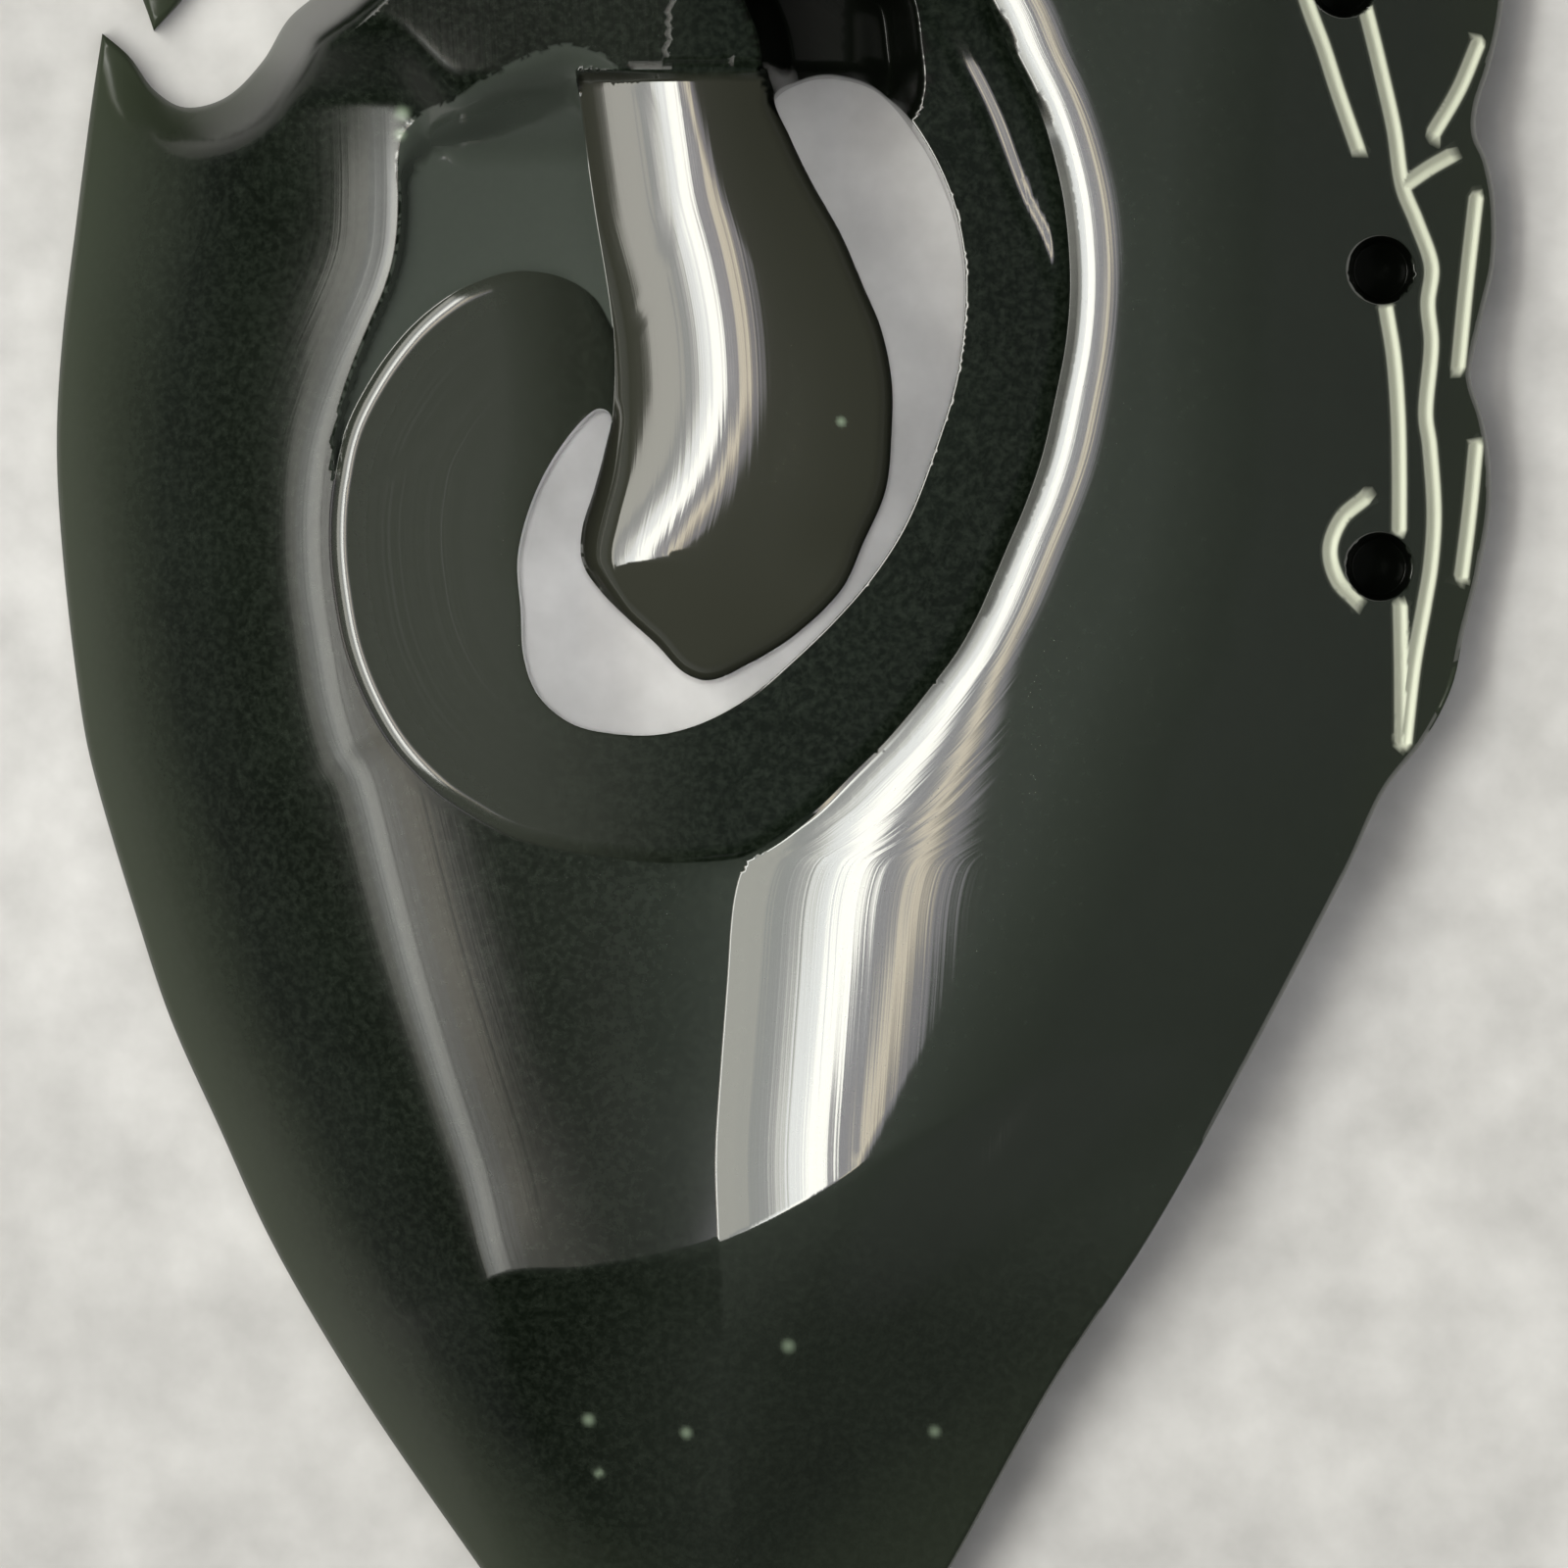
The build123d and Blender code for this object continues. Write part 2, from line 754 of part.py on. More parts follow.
def surface(points):
    """Height of the carved face over each point of the plan."""
    across = 2 * points[:, 0] / width
    along = points[:, 1] / length + 0.5
    in_tongue = inside(points, tongue)
    in_ring = inside(points, ring) & ~in_tongue
    level, outer, with_recess = outer_form(points, across, along)

    # The ring's top leans gently, and its edge is rounded down into the seam
    to_ring, _, _ = nearest(points, ring_line)
    to_turn, _, on_face = nearest(points, tongue_turn)
    arm_rise = between(along, arm_along)
    crown_join = between(along, crown_along) * between(across, crown_across)
    ring_top = ring_left + ring_tilt * (across - ring_left_across) * width / 2
    ring_top = ring_top + (level - ring_top) * np.maximum(arm_rise, crown_join)
    ring_top = np.minimum(ring_top, level)
    edge_drop = np.maximum(ring_top - outer, 0) + seam_depth * (1 - arm_rise)
    ring_height = ring_top - edge_drop * fade(to_ring / ring_edge)
    dive = fade(to_turn / head_dive_reach) * between(along, dive_from) * between(along, dive_to)
    ring_height = ring_height - head_dive * dive
    to_pocket, _, _ = nearest(points, whole(pocket))
    deep = pocket_depth * ease(to_pocket / pocket_wall)
    ring_height = ring_height - np.where(inside(points, pocket), deep, 0)
    to_arm, _, _ = nearest(points, arm_line)
    ring_height = ring_height - arm_line_depth * (1 - ease(2 * to_arm / arm_line_width))

    # The tongue, a long ridge that turns down on its left and falls to its tip
    slope = tongue_slope - tip_slope_loss * between(along, tip_along)
    over = np.where(on_face, 0, to_turn)
    curl = np.maximum(slope - tongue_bend * np.where(on_face, to_turn, 0), 0) ** 2 / (2 * tongue_bend)
    curl = curl + slope * over + tongue_side * over * over
    curl = curl + tip_bend / 2 * (np.maximum(tip_start - along, 0) * length) ** 2
    to_right, _, _ = nearest(points, tongue_right)
    curl = curl + right_fall * fade(to_right / right_round)
    tongue_height = level - between(along, tongue_top) * curl

    height = np.where(in_tongue, tongue_height, np.where(in_ring, ring_height, with_recess))

    # Rounded edges of the pierced slot
    slot_edge = np.where(in_tongue, tongue_edge, ring_inner_edge)
    to_slot, _, _ = nearest(points, whole(slot))
    short = np.clip(slot_edge - to_slot, 0, slot_edge)
    height = height - slot_edge + np.sqrt(slot_edge**2 - short**2)

    # Cut lines and drilled pits of the crest
    cut = np.zeros(len(points))
    for line in crest_lines:
        gap, _, _ = nearest(points, line)
        cut = np.maximum(cut, line_depth * (1 - ease(2 * gap / line_width)))
    for pit in pits:
        gap = np.linalg.norm(points - pit, axis=1) / (pit_diameter / 2)
        cut = np.maximum(cut, pit_depth * (1 - between(gap, (pit_floor, 1))))
    return height - cut


def ring_of(centre, radius, count):
    """Points of a circle."""
    turn = np.arange(count) * 2 * np.pi / count
    return centre + radius * np.column_stack((np.cos(turn), np.sin(turn)))


def add(points, more, gap):
    """Add the new points that keep a gap from the points so far."""
    near = np.min(np.linalg.norm(more[:, None] - points[None], axis=2), axis=1)
    return np.vstack((points, more[near > gap]))


def plan_points():
    """Points of the plan: both edges first, then rows along each feature, then an even field."""
    points = np.vstack((outline, slot))

    # Rows that follow the roll of the outer edge, on the stone's side
    for gap in edge_rows:
        row = beside(outline, gap, loop=True)
        keep = inside(row, outline) & (nearest(row, whole(outline))[0] > true_share * gap)
        points = add(points, row[keep], edge_clear)

    # Rows that follow the rounded edge of the slot
    for gap in (tongue_edge / 4, tongue_edge):
        row = beside(slot, gap, loop=True)
        keep = ~inside(row, slot) & (nearest(row, whole(slot))[0] > true_share * gap)
        points = add(points, row[keep], slot_clear)

    # Pits and cut lines of the crest
    rows = []
    for pit in pits:
        rows.append(ring_of(pit, pit_diameter / 2, pit_corners))
        rows.append(ring_of(pit, pit_diameter / 2 * pit_floor, pit_corners))
    for line in crest_lines:
        rows += [line, beside(line, line_width / 2), beside(line, -line_width / 2)]

    # Both sides of the ring's seam, the tongue's edges, and the turns of the other forms
    for gap in (-seam_gap, seam_gap, ring_edge / 2, ring_edge):
        rows.append(beside(ring_line, gap))
    for line in (tongue_left[: len(tongue_left) // 2], tongue_right[len(tongue_right) // 2 :]):
        rows += [beside(line, seam_gap), beside(line, -seam_gap)]
    for gap in (0, recess_edge):
        rows.append(beside(recess, gap, loop=True))
    for gap in (0, ridge_round, -ridge_round):
        rows.append(beside(ridge_line, gap))
    for share in tongue_top:
        rows.append(walk(places([(TONGUE_LEFT[0][0], share), (POCKET[1][0], share)]), feature_step))
    rows += [tongue_turn, foot_start, tail_line, beside(tail_line, -tail_bend)]
    rows += [arm_line, beside(arm_line, arm_line_width / 2), beside(arm_line, -arm_line_width / 2)]
    for row in rows:
        free = inside(row, outline) & ~inside(row, slot)
        free &= (nearest(row, whole(outline))[0] > edge_clear) & (nearest(row, whole(slot))[0] > slot_clear)
        points = add(points, row[free], row_clear)

    # An even field of points between the features
    across = np.arange(-width / 2, width / 2, field_step)
    up = np.arange(-length / 2, length / 2, field_step * row_share)
    field = np.array([(x + field_step / 2 * (i % 2), y) for i, y in enumerate(up) for x in across])
    free = inside(field, outline) & ~inside(field, slot)
    free &= nearest(field, whole(outline))[0] > field_step / 2
    free &= nearest(field, whole(slot))[0] > field_step / 2
    return add(points, field[free], field_clear)


def plan_triangles(points):
    """Triangles between the points, without those outside the edge or over the slot."""
    corners = Delaunay(points).simplices
    middles = points[corners].mean(axis=1)
    corners = corners[inside(middles, outline) & ~inside(middles, slot)]
    a, b, c = (points[corners[:, i]] for i in range(3))
    area = (b[:, 0] - a[:, 0]) * (c[:, 1] - a[:, 1]) - (b[:, 1] - a[:, 1]) * (c[:, 0] - a[:, 0])
    corners = corners[np.abs(area) > 1e-6]
    area = area[np.abs(area) > 1e-6]
    corners[area < 0] = corners[area < 0][:, ::-1]
    return corners


def flat(*corners):
    """A flat face on three or four corners."""
    return Face(Wire.make_polygon([tuple(float(v) for v in corner) for corner in corners]))


def wall(loop, heights):
    """Upright wall from a loop of the face down to a chamfer, which runs out at a sharp corner."""
    run_in, run_out = loop - np.roll(loop, 1, axis=0), np.roll(loop, -1, axis=0) - loop
    turn = np.sum(run_in * run_out, axis=1)
    turn = turn / np.linalg.norm(run_in, axis=1) / np.linalg.norm(run_out, axis=1)
    gap = np.full(len(loop), back_edge)
    for tip in loop[turn < sharp_turn]:
        gap = gap * ease(np.linalg.norm(loop - tip, axis=1) / tip_run)
    foot = beside(loop, gap, loop=True)
    faces = []
    for i in range(len(loop)):
        j = (i + 1) % len(loop)
        top_i, top_j = (*loop[i], heights[i]), (*loop[j], heights[j])
        low_i, low_j = (*loop[i], back_edge), (*loop[j], back_edge)
        foot_i, foot_j = (*foot[i], 0), (*foot[j], 0)
        faces.append(flat(top_i, low_i, low_j, top_j))
        faces.append(flat(low_i, foot_i, foot_j))
        faces.append(flat(low_i, foot_j, low_j))
    return faces, foot


def carved_pendant():
    """The stone: carved face, walls and flat back in one shell, then the cord hole."""
    points = plan_points()
    corners = plan_triangles(points)
    heights = surface(points)
    top = np.column_stack((points, heights))
    faces = [flat(*top[corner]) for corner in corners]
    edge_count = len(outline)
    outer, outer_foot = wall(outline, heights[:edge_count])
    inner, inner_foot = wall(slot, heights[edge_count : edge_count + len(slot)])
    back_wire = Wire.make_polygon([(float(x), float(y), 0.0) for x, y in outer_foot])
    slot_wire = Wire.make_polygon([(float(x), float(y), 0.0) for x, y in inner_foot])
    back = Face(back_wire, [slot_wire])
    stone = Solid(Shell(faces + outer + inner + [back]))
    hole = Pos(hole_place[0], hole_place[1], thickness / 2)
    stone = stone - hole * Cylinder(cord_hole / 2, 2 * thickness)
    print("triangles of the face", len(corners), "points", len(points))
    return stone


os.makedirs("parts", exist_ok=True)
stone = carved_pendant()
box = stone.bounding_box()
print("box", box.min, box.max, "volume", stone.volume, "valid", stone.is_valid)
export_step(stone, "parts/carved_pendant.step")
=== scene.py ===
import math

import bpy
import numpy as np
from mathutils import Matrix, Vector, geometry, kdtree


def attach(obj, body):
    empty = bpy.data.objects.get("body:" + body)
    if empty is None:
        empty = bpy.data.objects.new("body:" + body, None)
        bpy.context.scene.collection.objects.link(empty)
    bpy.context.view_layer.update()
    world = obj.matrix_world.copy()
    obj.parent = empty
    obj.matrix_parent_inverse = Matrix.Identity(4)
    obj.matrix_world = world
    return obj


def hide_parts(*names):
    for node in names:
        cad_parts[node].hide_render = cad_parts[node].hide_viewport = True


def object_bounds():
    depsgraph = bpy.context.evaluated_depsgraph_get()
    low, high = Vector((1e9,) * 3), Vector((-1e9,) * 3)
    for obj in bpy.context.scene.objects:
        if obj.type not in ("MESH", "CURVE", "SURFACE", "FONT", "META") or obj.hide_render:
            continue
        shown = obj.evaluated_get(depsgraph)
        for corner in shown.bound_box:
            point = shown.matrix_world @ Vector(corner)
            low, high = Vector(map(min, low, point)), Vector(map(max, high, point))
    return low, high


# A manaia pendant carved from dark green nephrite jade, lying face up on pale paper.
# Shapes are worked out in millimetres and made in metres.

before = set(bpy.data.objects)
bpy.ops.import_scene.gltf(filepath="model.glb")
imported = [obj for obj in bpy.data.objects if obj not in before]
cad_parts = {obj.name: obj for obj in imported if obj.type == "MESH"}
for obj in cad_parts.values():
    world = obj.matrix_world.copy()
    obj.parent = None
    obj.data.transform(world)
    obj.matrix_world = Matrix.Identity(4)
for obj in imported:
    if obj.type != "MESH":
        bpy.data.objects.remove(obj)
cad_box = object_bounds()
bpy.ops.object.select_all(action="DESELECT")
scene = bpy.context.scene
scene.view_settings.view_transform = "Standard"
mm = 0.001
hair = 0.001

# Camera straight above the middle of the coiled ring
view_middle = Vector((0.07, -4.333, 0))
view_width = 37.48
camera_height = 500.0
view_level = 6.0
camera_data = bpy.data.cameras.new("camera")
camera_data.sensor_width = 36
camera_data.lens = camera_data.sensor_width * (camera_height - view_level) / view_width
camera = bpy.data.objects.new("camera", camera_data)
camera.location = (view_middle.x * mm, view_middle.y * mm, camera_height * mm)
scene.collection.objects.link(camera)
scene.camera = camera

# Overall sizes of the stone in millimetres
width = 35.0
length = 61.6
thickness = 7.0
rim_left = 0.9
rim_edge = 0.15
back_edge = 0.45
flank = 9.5
flank_straight = 0.6
dome = 0.25
dome_along = 0.55

# The long roll down the left side, and the valley beside it
roll_fullness = 0.5
ridge_slope = 0.19
ridge_kink = 0.16
ridge_round = 0.55
valley_lean = 3.2
valley_width = 4.5
left_drop = 1.22

# The slope up to the right field, and the tail
foot_slope = 0.36
foot_gap = 0.2
ring_slope = 0.30
tail_slope = 0.20
tail_lip = 0.22
tail_lip_width = 3.0
tail_bend = 0.3
tail_merge = 4.0
late_fall = 0.055
late_along = 0.36
late_bend = 3
tail_along = 0.40

# The coiled ring, the tongue, and the lowered places beside them
ring_left = 5.4
ring_tilt = 0.045
ring_reach = 10.7
ring_edge = 0.4
seam_depth = 0.12
tongue_slope = 0.46
tongue_bend = 0.12
tongue_side = 1.2
tip_slope_loss = 0.18
tip_bend = 0.085
tip_start = 0.552
right_fall = 0.35
right_round = 2.2
recess_depth = 0.55
recess_edge = 0.2
recess_end = 1.6
pocket_depth = 3.2
head_dive = 1.3
tongue_edge = 0.4
ring_inner_edge = 0.05
pocket_wall = 0.9
dive_width = 3.0
tip_power = 1.5

# Where each form comes in or ends: a place, and how far the change takes.
# Places along the plan are shares of the length, and places across it are in millimetres.
head_along = (0.74, 0.06)
cheek_along = (0.69, 0.045)
cheek_across = (-13.5, 3)
rim_across = (-9, 14)
wall_along = (0.395, 0.025)
left_along = 0.708
left_reach = 0.04
lip_shift = 0.022
lip_across = (-7.5, 2)
arm_along = (0.70, 0.10)
crown_along = (0.697, 0.015)
crown_across = (1.5, 2)
dive_start = (0.50, 0.04)
dive_end = (0.64, 0.02)
recess_along = (0.66, 0.03)
tip_along = (0.585, 0.07)
tongue_top = (0.7065, 0.005)
right_side_along = (0.76, 0.05)
right_side_across = (-2, 4)

line_width = 0.38
line_depth = 0.12
arm_line_width = 0.7
arm_line_depth = 0.035
pit_diameter = 1.7
pit_depth = 1.0
cord_hole = 2.5
cord_hole_inset = 5.2
cord_hole_edge = 0.5
pit_floor = 0.75

# Amounts of polish, from none to full, and the places where they change
roll_polish = 0.08
upper_roll_polish = 0.24
ring_polish_loss = 0.25
recess_polish = 0.75
lower_edge_polish = 0.3
upper_roll_along = (0.58, 0.06)
lip_dull_along = (0.694, 0.036)
foot_polish_gap = (3.0, 3.0)
foot_polish_along = (0.45, 0.03)
worn_ring_across = (-1, 3)
worn_ring_gap = (0.8, 0.3)

# Amounts of the cloudy grey tone and of the brown tone, and the places where they change. On the ring's
# left part both are a painted sheen.
field_cloud = 0.50
field_cloud_loss = 0.25
valley_cloud = 0.5
tail_cloud = 0.3
recess_cloud = 0.8
ring_sheen_grey = 0.25
ring_sheen_brown = 0.7
tail_cloud_along = (0.28, 0.08)
tail_cloud_across = (-6, 6)
valley_cloud_width = 5.5
valley_cloud_end = (0.42, 0.03)
valley_cloud_start = (0.20, 0.08)
left_ring_across = (-1.0, 7.0)

# How the marks of the tools begin and end beside the forms
cut_mark_gap = (line_width / 2 + 0.03, 0.08)
pit_mark_gap = (0.98, 0.05)
pit_shade = 0.96
seam_calm_gap = (0.05, 0.25)
foot_calm_gap = (3.5, 1.5)

# Each row of a table is a place on the plan: across, from -1 at the left edge to 1 at the right,
# and along, from 0 at the tail tip to 1 at the crown.

# Edge from the tail tip up the right side, over the crown and down to the beak tip
RIM = [
    (-0.070, 0.000), (0.004, 0.021), (0.138, 0.079), (0.236, 0.125), (0.373, 0.195),
    (0.510, 0.255), (0.639, 0.321), (0.776, 0.395), (0.830, 0.427), (0.888, 0.448),
    (0.924, 0.468), (0.941, 0.489), (0.961, 0.511), (0.977, 0.536), (0.977, 0.555),
    (0.967, 0.572), (0.950, 0.587), (0.952, 0.596), (0.968, 0.615), (0.983, 0.634),
    (0.984, 0.656), (0.973, 0.673), (0.957, 0.684), (0.959, 0.695), (0.977, 0.711),
    (0.993, 0.732), (0.999, 0.760), (0.981, 0.795), (0.921, 0.856), (0.807, 0.914),
    (0.633, 0.962), (0.406, 0.990), (0.138, 1.000), (-0.130, 0.993), (-0.384, 0.970),
    (-0.605, 0.930), (-0.779, 0.876), (-0.880, 0.817), (-0.906, 0.764), (-0.866, 0.725),
]

# Line that the sloping flank starts from, over the notches of the crest.
# The third column is the width of the flank there, as a share of the widest, and the fourth is
# the height of the rim, as a share of the thickness.
FLANK = [
    (-0.070, 0.000, 0.40, 0.22),
    (0.138, 0.079, 0.55, 0.30),
    (0.373, 0.195, 0.70, 0.42),
    (0.639, 0.321, 0.73, 0.49),
    (0.776, 0.395, 0.76, 0.45),
    (0.888, 0.448, 0.80, 0.30),
    (0.952, 0.500, 0.86, 0.24),
    (0.982, 0.550, 0.87, 0.23),
    (0.990, 0.640, 0.87, 0.23),
    (0.996, 0.700, 0.85, 0.24),
    (1.000, 0.760, 0.80, 0.26),
    (0.981, 0.795, 0.74, 0.28),
    (0.921, 0.856, 0.64, 0.32),
    (0.807, 0.914, 0.56, 0.35),
    (0.633, 0.962, 0.52, 0.36),
    (0.406, 0.990, 0.50, 0.36),
    (0.138, 1.000, 0.50, 0.36),
    (-0.130, 0.993, 0.50, 0.36),
    (-0.384, 0.970, 0.50, 0.34),
    (-0.605, 0.930, 0.50, 0.32),
    (-0.779, 0.876, 0.48, 0.30),
    (-0.880, 0.817, 0.42, 0.28),
    (-0.906, 0.764, 0.32, 0.26),
    (-0.866, 0.725, 0.22, 0.24),
]

# Edge of the open mouth, from the beak tip round to the lower lip, with the width of the flank there
MOUTH = [
    (-0.866, 0.725, 0.22),
    (-0.813, 0.743, 0.18),
    (-0.779, 0.770, 0.16),
    (-0.716, 0.795, 0.16),
    (-0.618, 0.804, 0.16),
    (-0.552, 0.787, 0.16),
    (-0.572, 0.760, 0.16),
    (-0.625, 0.743, 0.16),
    (-0.679, 0.730, 0.16),
    (-0.716, 0.713, 0.16),
    (-0.766, 0.699, 0.16),
    (-0.823, 0.695, 0.16),
    (-0.866, 0.702, 0.16),
    (-0.900, 0.715, 0.16),
    (-0.937, 0.724, 0.16),
]

# Edge from the lower lip down the left side to the tail tip
LEFT = [
    (-0.937, 0.724), (-0.952, 0.696), (-0.973, 0.650), (-0.992, 0.605), (-1.000, 0.563),
    (-0.991, 0.517), (-0.967, 0.460), (-0.945, 0.430), (-0.889, 0.377), (-0.842, 0.337),
    (-0.774, 0.294), (-0.712, 0.255), (-0.644, 0.220), (-0.554, 0.179), (-0.422, 0.125),
    (-0.317, 0.084), (-0.210, 0.042), (-0.130, 0.014), (-0.070, 0.000),
]

# Ridge of the left roll, from the cheek down past the ring to the tail
RIDGE = [
    (-0.575, 0.776), (-0.559, 0.734), (-0.552, 0.703), (-0.548, 0.677), (-0.547, 0.658),
    (-0.551, 0.639), (-0.565, 0.624), (-0.589, 0.608), (-0.613, 0.593), (-0.633, 0.578),
    (-0.649, 0.563), (-0.658, 0.548), (-0.662, 0.529), (-0.658, 0.506), (-0.646, 0.483),
    (-0.633, 0.462), (-0.613, 0.443), (-0.589, 0.430), (-0.554, 0.392), (-0.518, 0.354),
    (-0.477, 0.316), (-0.434, 0.278), (-0.402, 0.242), (-0.348, 0.202), (-0.285, 0.163),
    (-0.214, 0.125), (-0.127, 0.076), (-0.054, 0.030),
]

# The pierced crescent slot, from its upper end down the ring's side and back up the tongue's side
SLOT = [
    (-0.009, 0.697), (0.033, 0.705), (0.082, 0.706), (0.137, 0.700), (0.190, 0.682),
    (0.229, 0.660), (0.248, 0.638), (0.252, 0.617), (0.240, 0.588), (0.213, 0.562),
    (0.174, 0.533), (0.129, 0.512), (0.075, 0.494), (0.021, 0.479), (-0.040, 0.464),
    (-0.102, 0.454), (-0.163, 0.449), (-0.225, 0.449), (-0.286, 0.453), (-0.332, 0.464),
    (-0.352, 0.479), (-0.356, 0.497), (-0.360, 0.518), (-0.340, 0.540), (-0.303, 0.560),
    (-0.256, 0.575), (-0.233, 0.573), (-0.241, 0.560), (-0.256, 0.544), (-0.272, 0.529),
    (-0.272, 0.516), (-0.248, 0.505), (-0.210, 0.494), (-0.171, 0.484), (-0.133, 0.473),
    (-0.095, 0.470), (-0.040, 0.477), (0.021, 0.488), (0.082, 0.505), (0.112, 0.523),
    (0.143, 0.544), (0.151, 0.567), (0.151, 0.586), (0.137, 0.606), (0.112, 0.623),
    (0.082, 0.643), (0.044, 0.662), (0.013, 0.680),
]

# Outer edge of the coiled ring, from its head beside the tongue, down, round and up the right arm
RING = [
    (-0.229, 0.606), (-0.256, 0.619), (-0.303, 0.627), (-0.364, 0.629), (-0.424, 0.624),
    (-0.471, 0.616), (-0.517, 0.604), (-0.561, 0.587), (-0.596, 0.567), (-0.613, 0.544),
    (-0.617, 0.525), (-0.612, 0.506), (-0.597, 0.483), (-0.569, 0.462), (-0.529, 0.443),
    (-0.475, 0.427), (-0.424, 0.417), (-0.371, 0.409), (-0.304, 0.404), (-0.237, 0.401),
    (-0.157, 0.399), (-0.079, 0.400), (-0.047, 0.402), (-0.009, 0.408), (0.020, 0.414),
    (0.052, 0.421), (0.095, 0.433), (0.141, 0.446), (0.178, 0.458), (0.206, 0.468),
    (0.240, 0.481), (0.266, 0.494), (0.285, 0.506), (0.309, 0.522), (0.333, 0.538),
    (0.356, 0.557), (0.373, 0.578), (0.388, 0.600), (0.394, 0.620), (0.392, 0.639),
    (0.384, 0.658), (0.367, 0.678), (0.345, 0.695), (0.313, 0.713), (0.285, 0.731),
    (0.245, 0.749), (0.151, 0.772), (0.024, 0.795), (-0.123, 0.837),
]

# Foot of the right field's slope up the valley, before it joins the ring's edge
FOOT = [
    (-0.079, 0.148), (-0.090, 0.202), (-0.095, 0.254), (-0.098, 0.285), (-0.091, 0.319),
    (-0.082, 0.354), (-0.077, 0.376), (-0.071, 0.388), (-0.061, 0.397), (-0.047, 0.402),
]

# Where that slope ends in the level right field
SHOULDER = [
    (0.219, 0.148), (0.232, 0.202), (0.246, 0.254), (0.256, 0.297), (0.292, 0.331),
    (0.311, 0.354), (0.337, 0.376), (0.355, 0.399), (0.361, 0.422), (0.355, 0.445),
    (0.355, 0.468), (0.368, 0.485), (0.402, 0.506), (0.431, 0.529), (0.458, 0.551),
    (0.479, 0.582), (0.491, 0.620), (0.494, 0.639), (0.487, 0.658), (0.468, 0.679),
    (0.450, 0.696), (0.428, 0.715), (0.404, 0.734), (0.353, 0.757), (0.233, 0.783),
    (0.086, 0.810), (-0.111, 0.837),
]

# Where the tail begins to fall away
TAIL_LINE = [
    (-1.000, 0.180), (-0.491, 0.228), (-0.371, 0.241), (-0.264, 0.243), (-0.096, 0.253),
    (0.044, 0.271), (0.191, 0.297), (0.406, 0.323), (0.673, 0.338), (1.100, 0.350),
]

# Left edge of the tongue, from its square upper end down to its corner
TONGUE_LEFT = [
    (-0.280, 0.7066), (-0.278, 0.702), (-0.257, 0.658), (-0.229, 0.606), (-0.230, 0.573),
    (-0.241, 0.560), (-0.256, 0.544), (-0.272, 0.529), (-0.272, 0.516), (-0.248, 0.505),
]

# Where the tongue's face turns down to its left side
TONGUE_TURN = [
    (-0.292, 0.745), (-0.280, 0.719), (-0.269, 0.696), (-0.258, 0.673), (-0.245, 0.650),
    (-0.221, 0.624), (-0.207, 0.601), (-0.203, 0.574), (-0.206, 0.551), (-0.220, 0.532),
    (-0.228, 0.517), (-0.210, 0.502), (-0.192, 0.484),
]

# Tip of the tongue, then its right edge up to the square end
TONGUE_TIP = [
    (-0.248, 0.505), (-0.210, 0.494), (-0.171, 0.484), (-0.133, 0.473), (-0.095, 0.470),
    (-0.040, 0.477), (0.021, 0.488), (0.082, 0.505), (0.112, 0.523),
]
TONGUE_RIGHT = [
    (0.112, 0.523), (0.143, 0.544), (0.151, 0.567), (0.151, 0.586), (0.137, 0.606),
    (0.112, 0.623), (0.082, 0.643), (0.044, 0.662), (0.013, 0.680), (-0.009, 0.697),
    (-0.020, 0.7066),
]

# Line just below the tongue's square upper end
SQUARE_END = [(-0.30, 0.7015), (-0.02, 0.7015)]

# Lowered ground between the left roll, the tongue and the ring's head.
# Its right and lower sides lie under the tongue and the ring.
RECESS = [
    (-0.525, 0.671), (-0.521, 0.658), (-0.525, 0.639), (-0.538, 0.624), (-0.560, 0.609),
    (-0.582, 0.594), (-0.601, 0.578), (-0.613, 0.561), (-0.605, 0.544), (-0.531, 0.551),
    (-0.424, 0.582), (-0.317, 0.605), (-0.210, 0.605), (-0.157, 0.639), (-0.170, 0.684),
    (-0.210, 0.705), (-0.290, 0.716), (-0.391, 0.705), (-0.438, 0.696), (-0.491, 0.690),
    (-0.518, 0.683),
]

# Places under the tongue that close the ring's outline
UNDER_TONGUE = [(-0.16, 0.70), (-0.12, 0.62)]

# Deep pocket over the upper end of the slot, with its lower side inside the slot
POCKET = [
    (-0.009, 0.690), (-0.036, 0.719), (-0.058, 0.745), (0.058, 0.752), (0.168, 0.743),
    (0.194, 0.716), (0.190, 0.692), (0.110, 0.670),
]

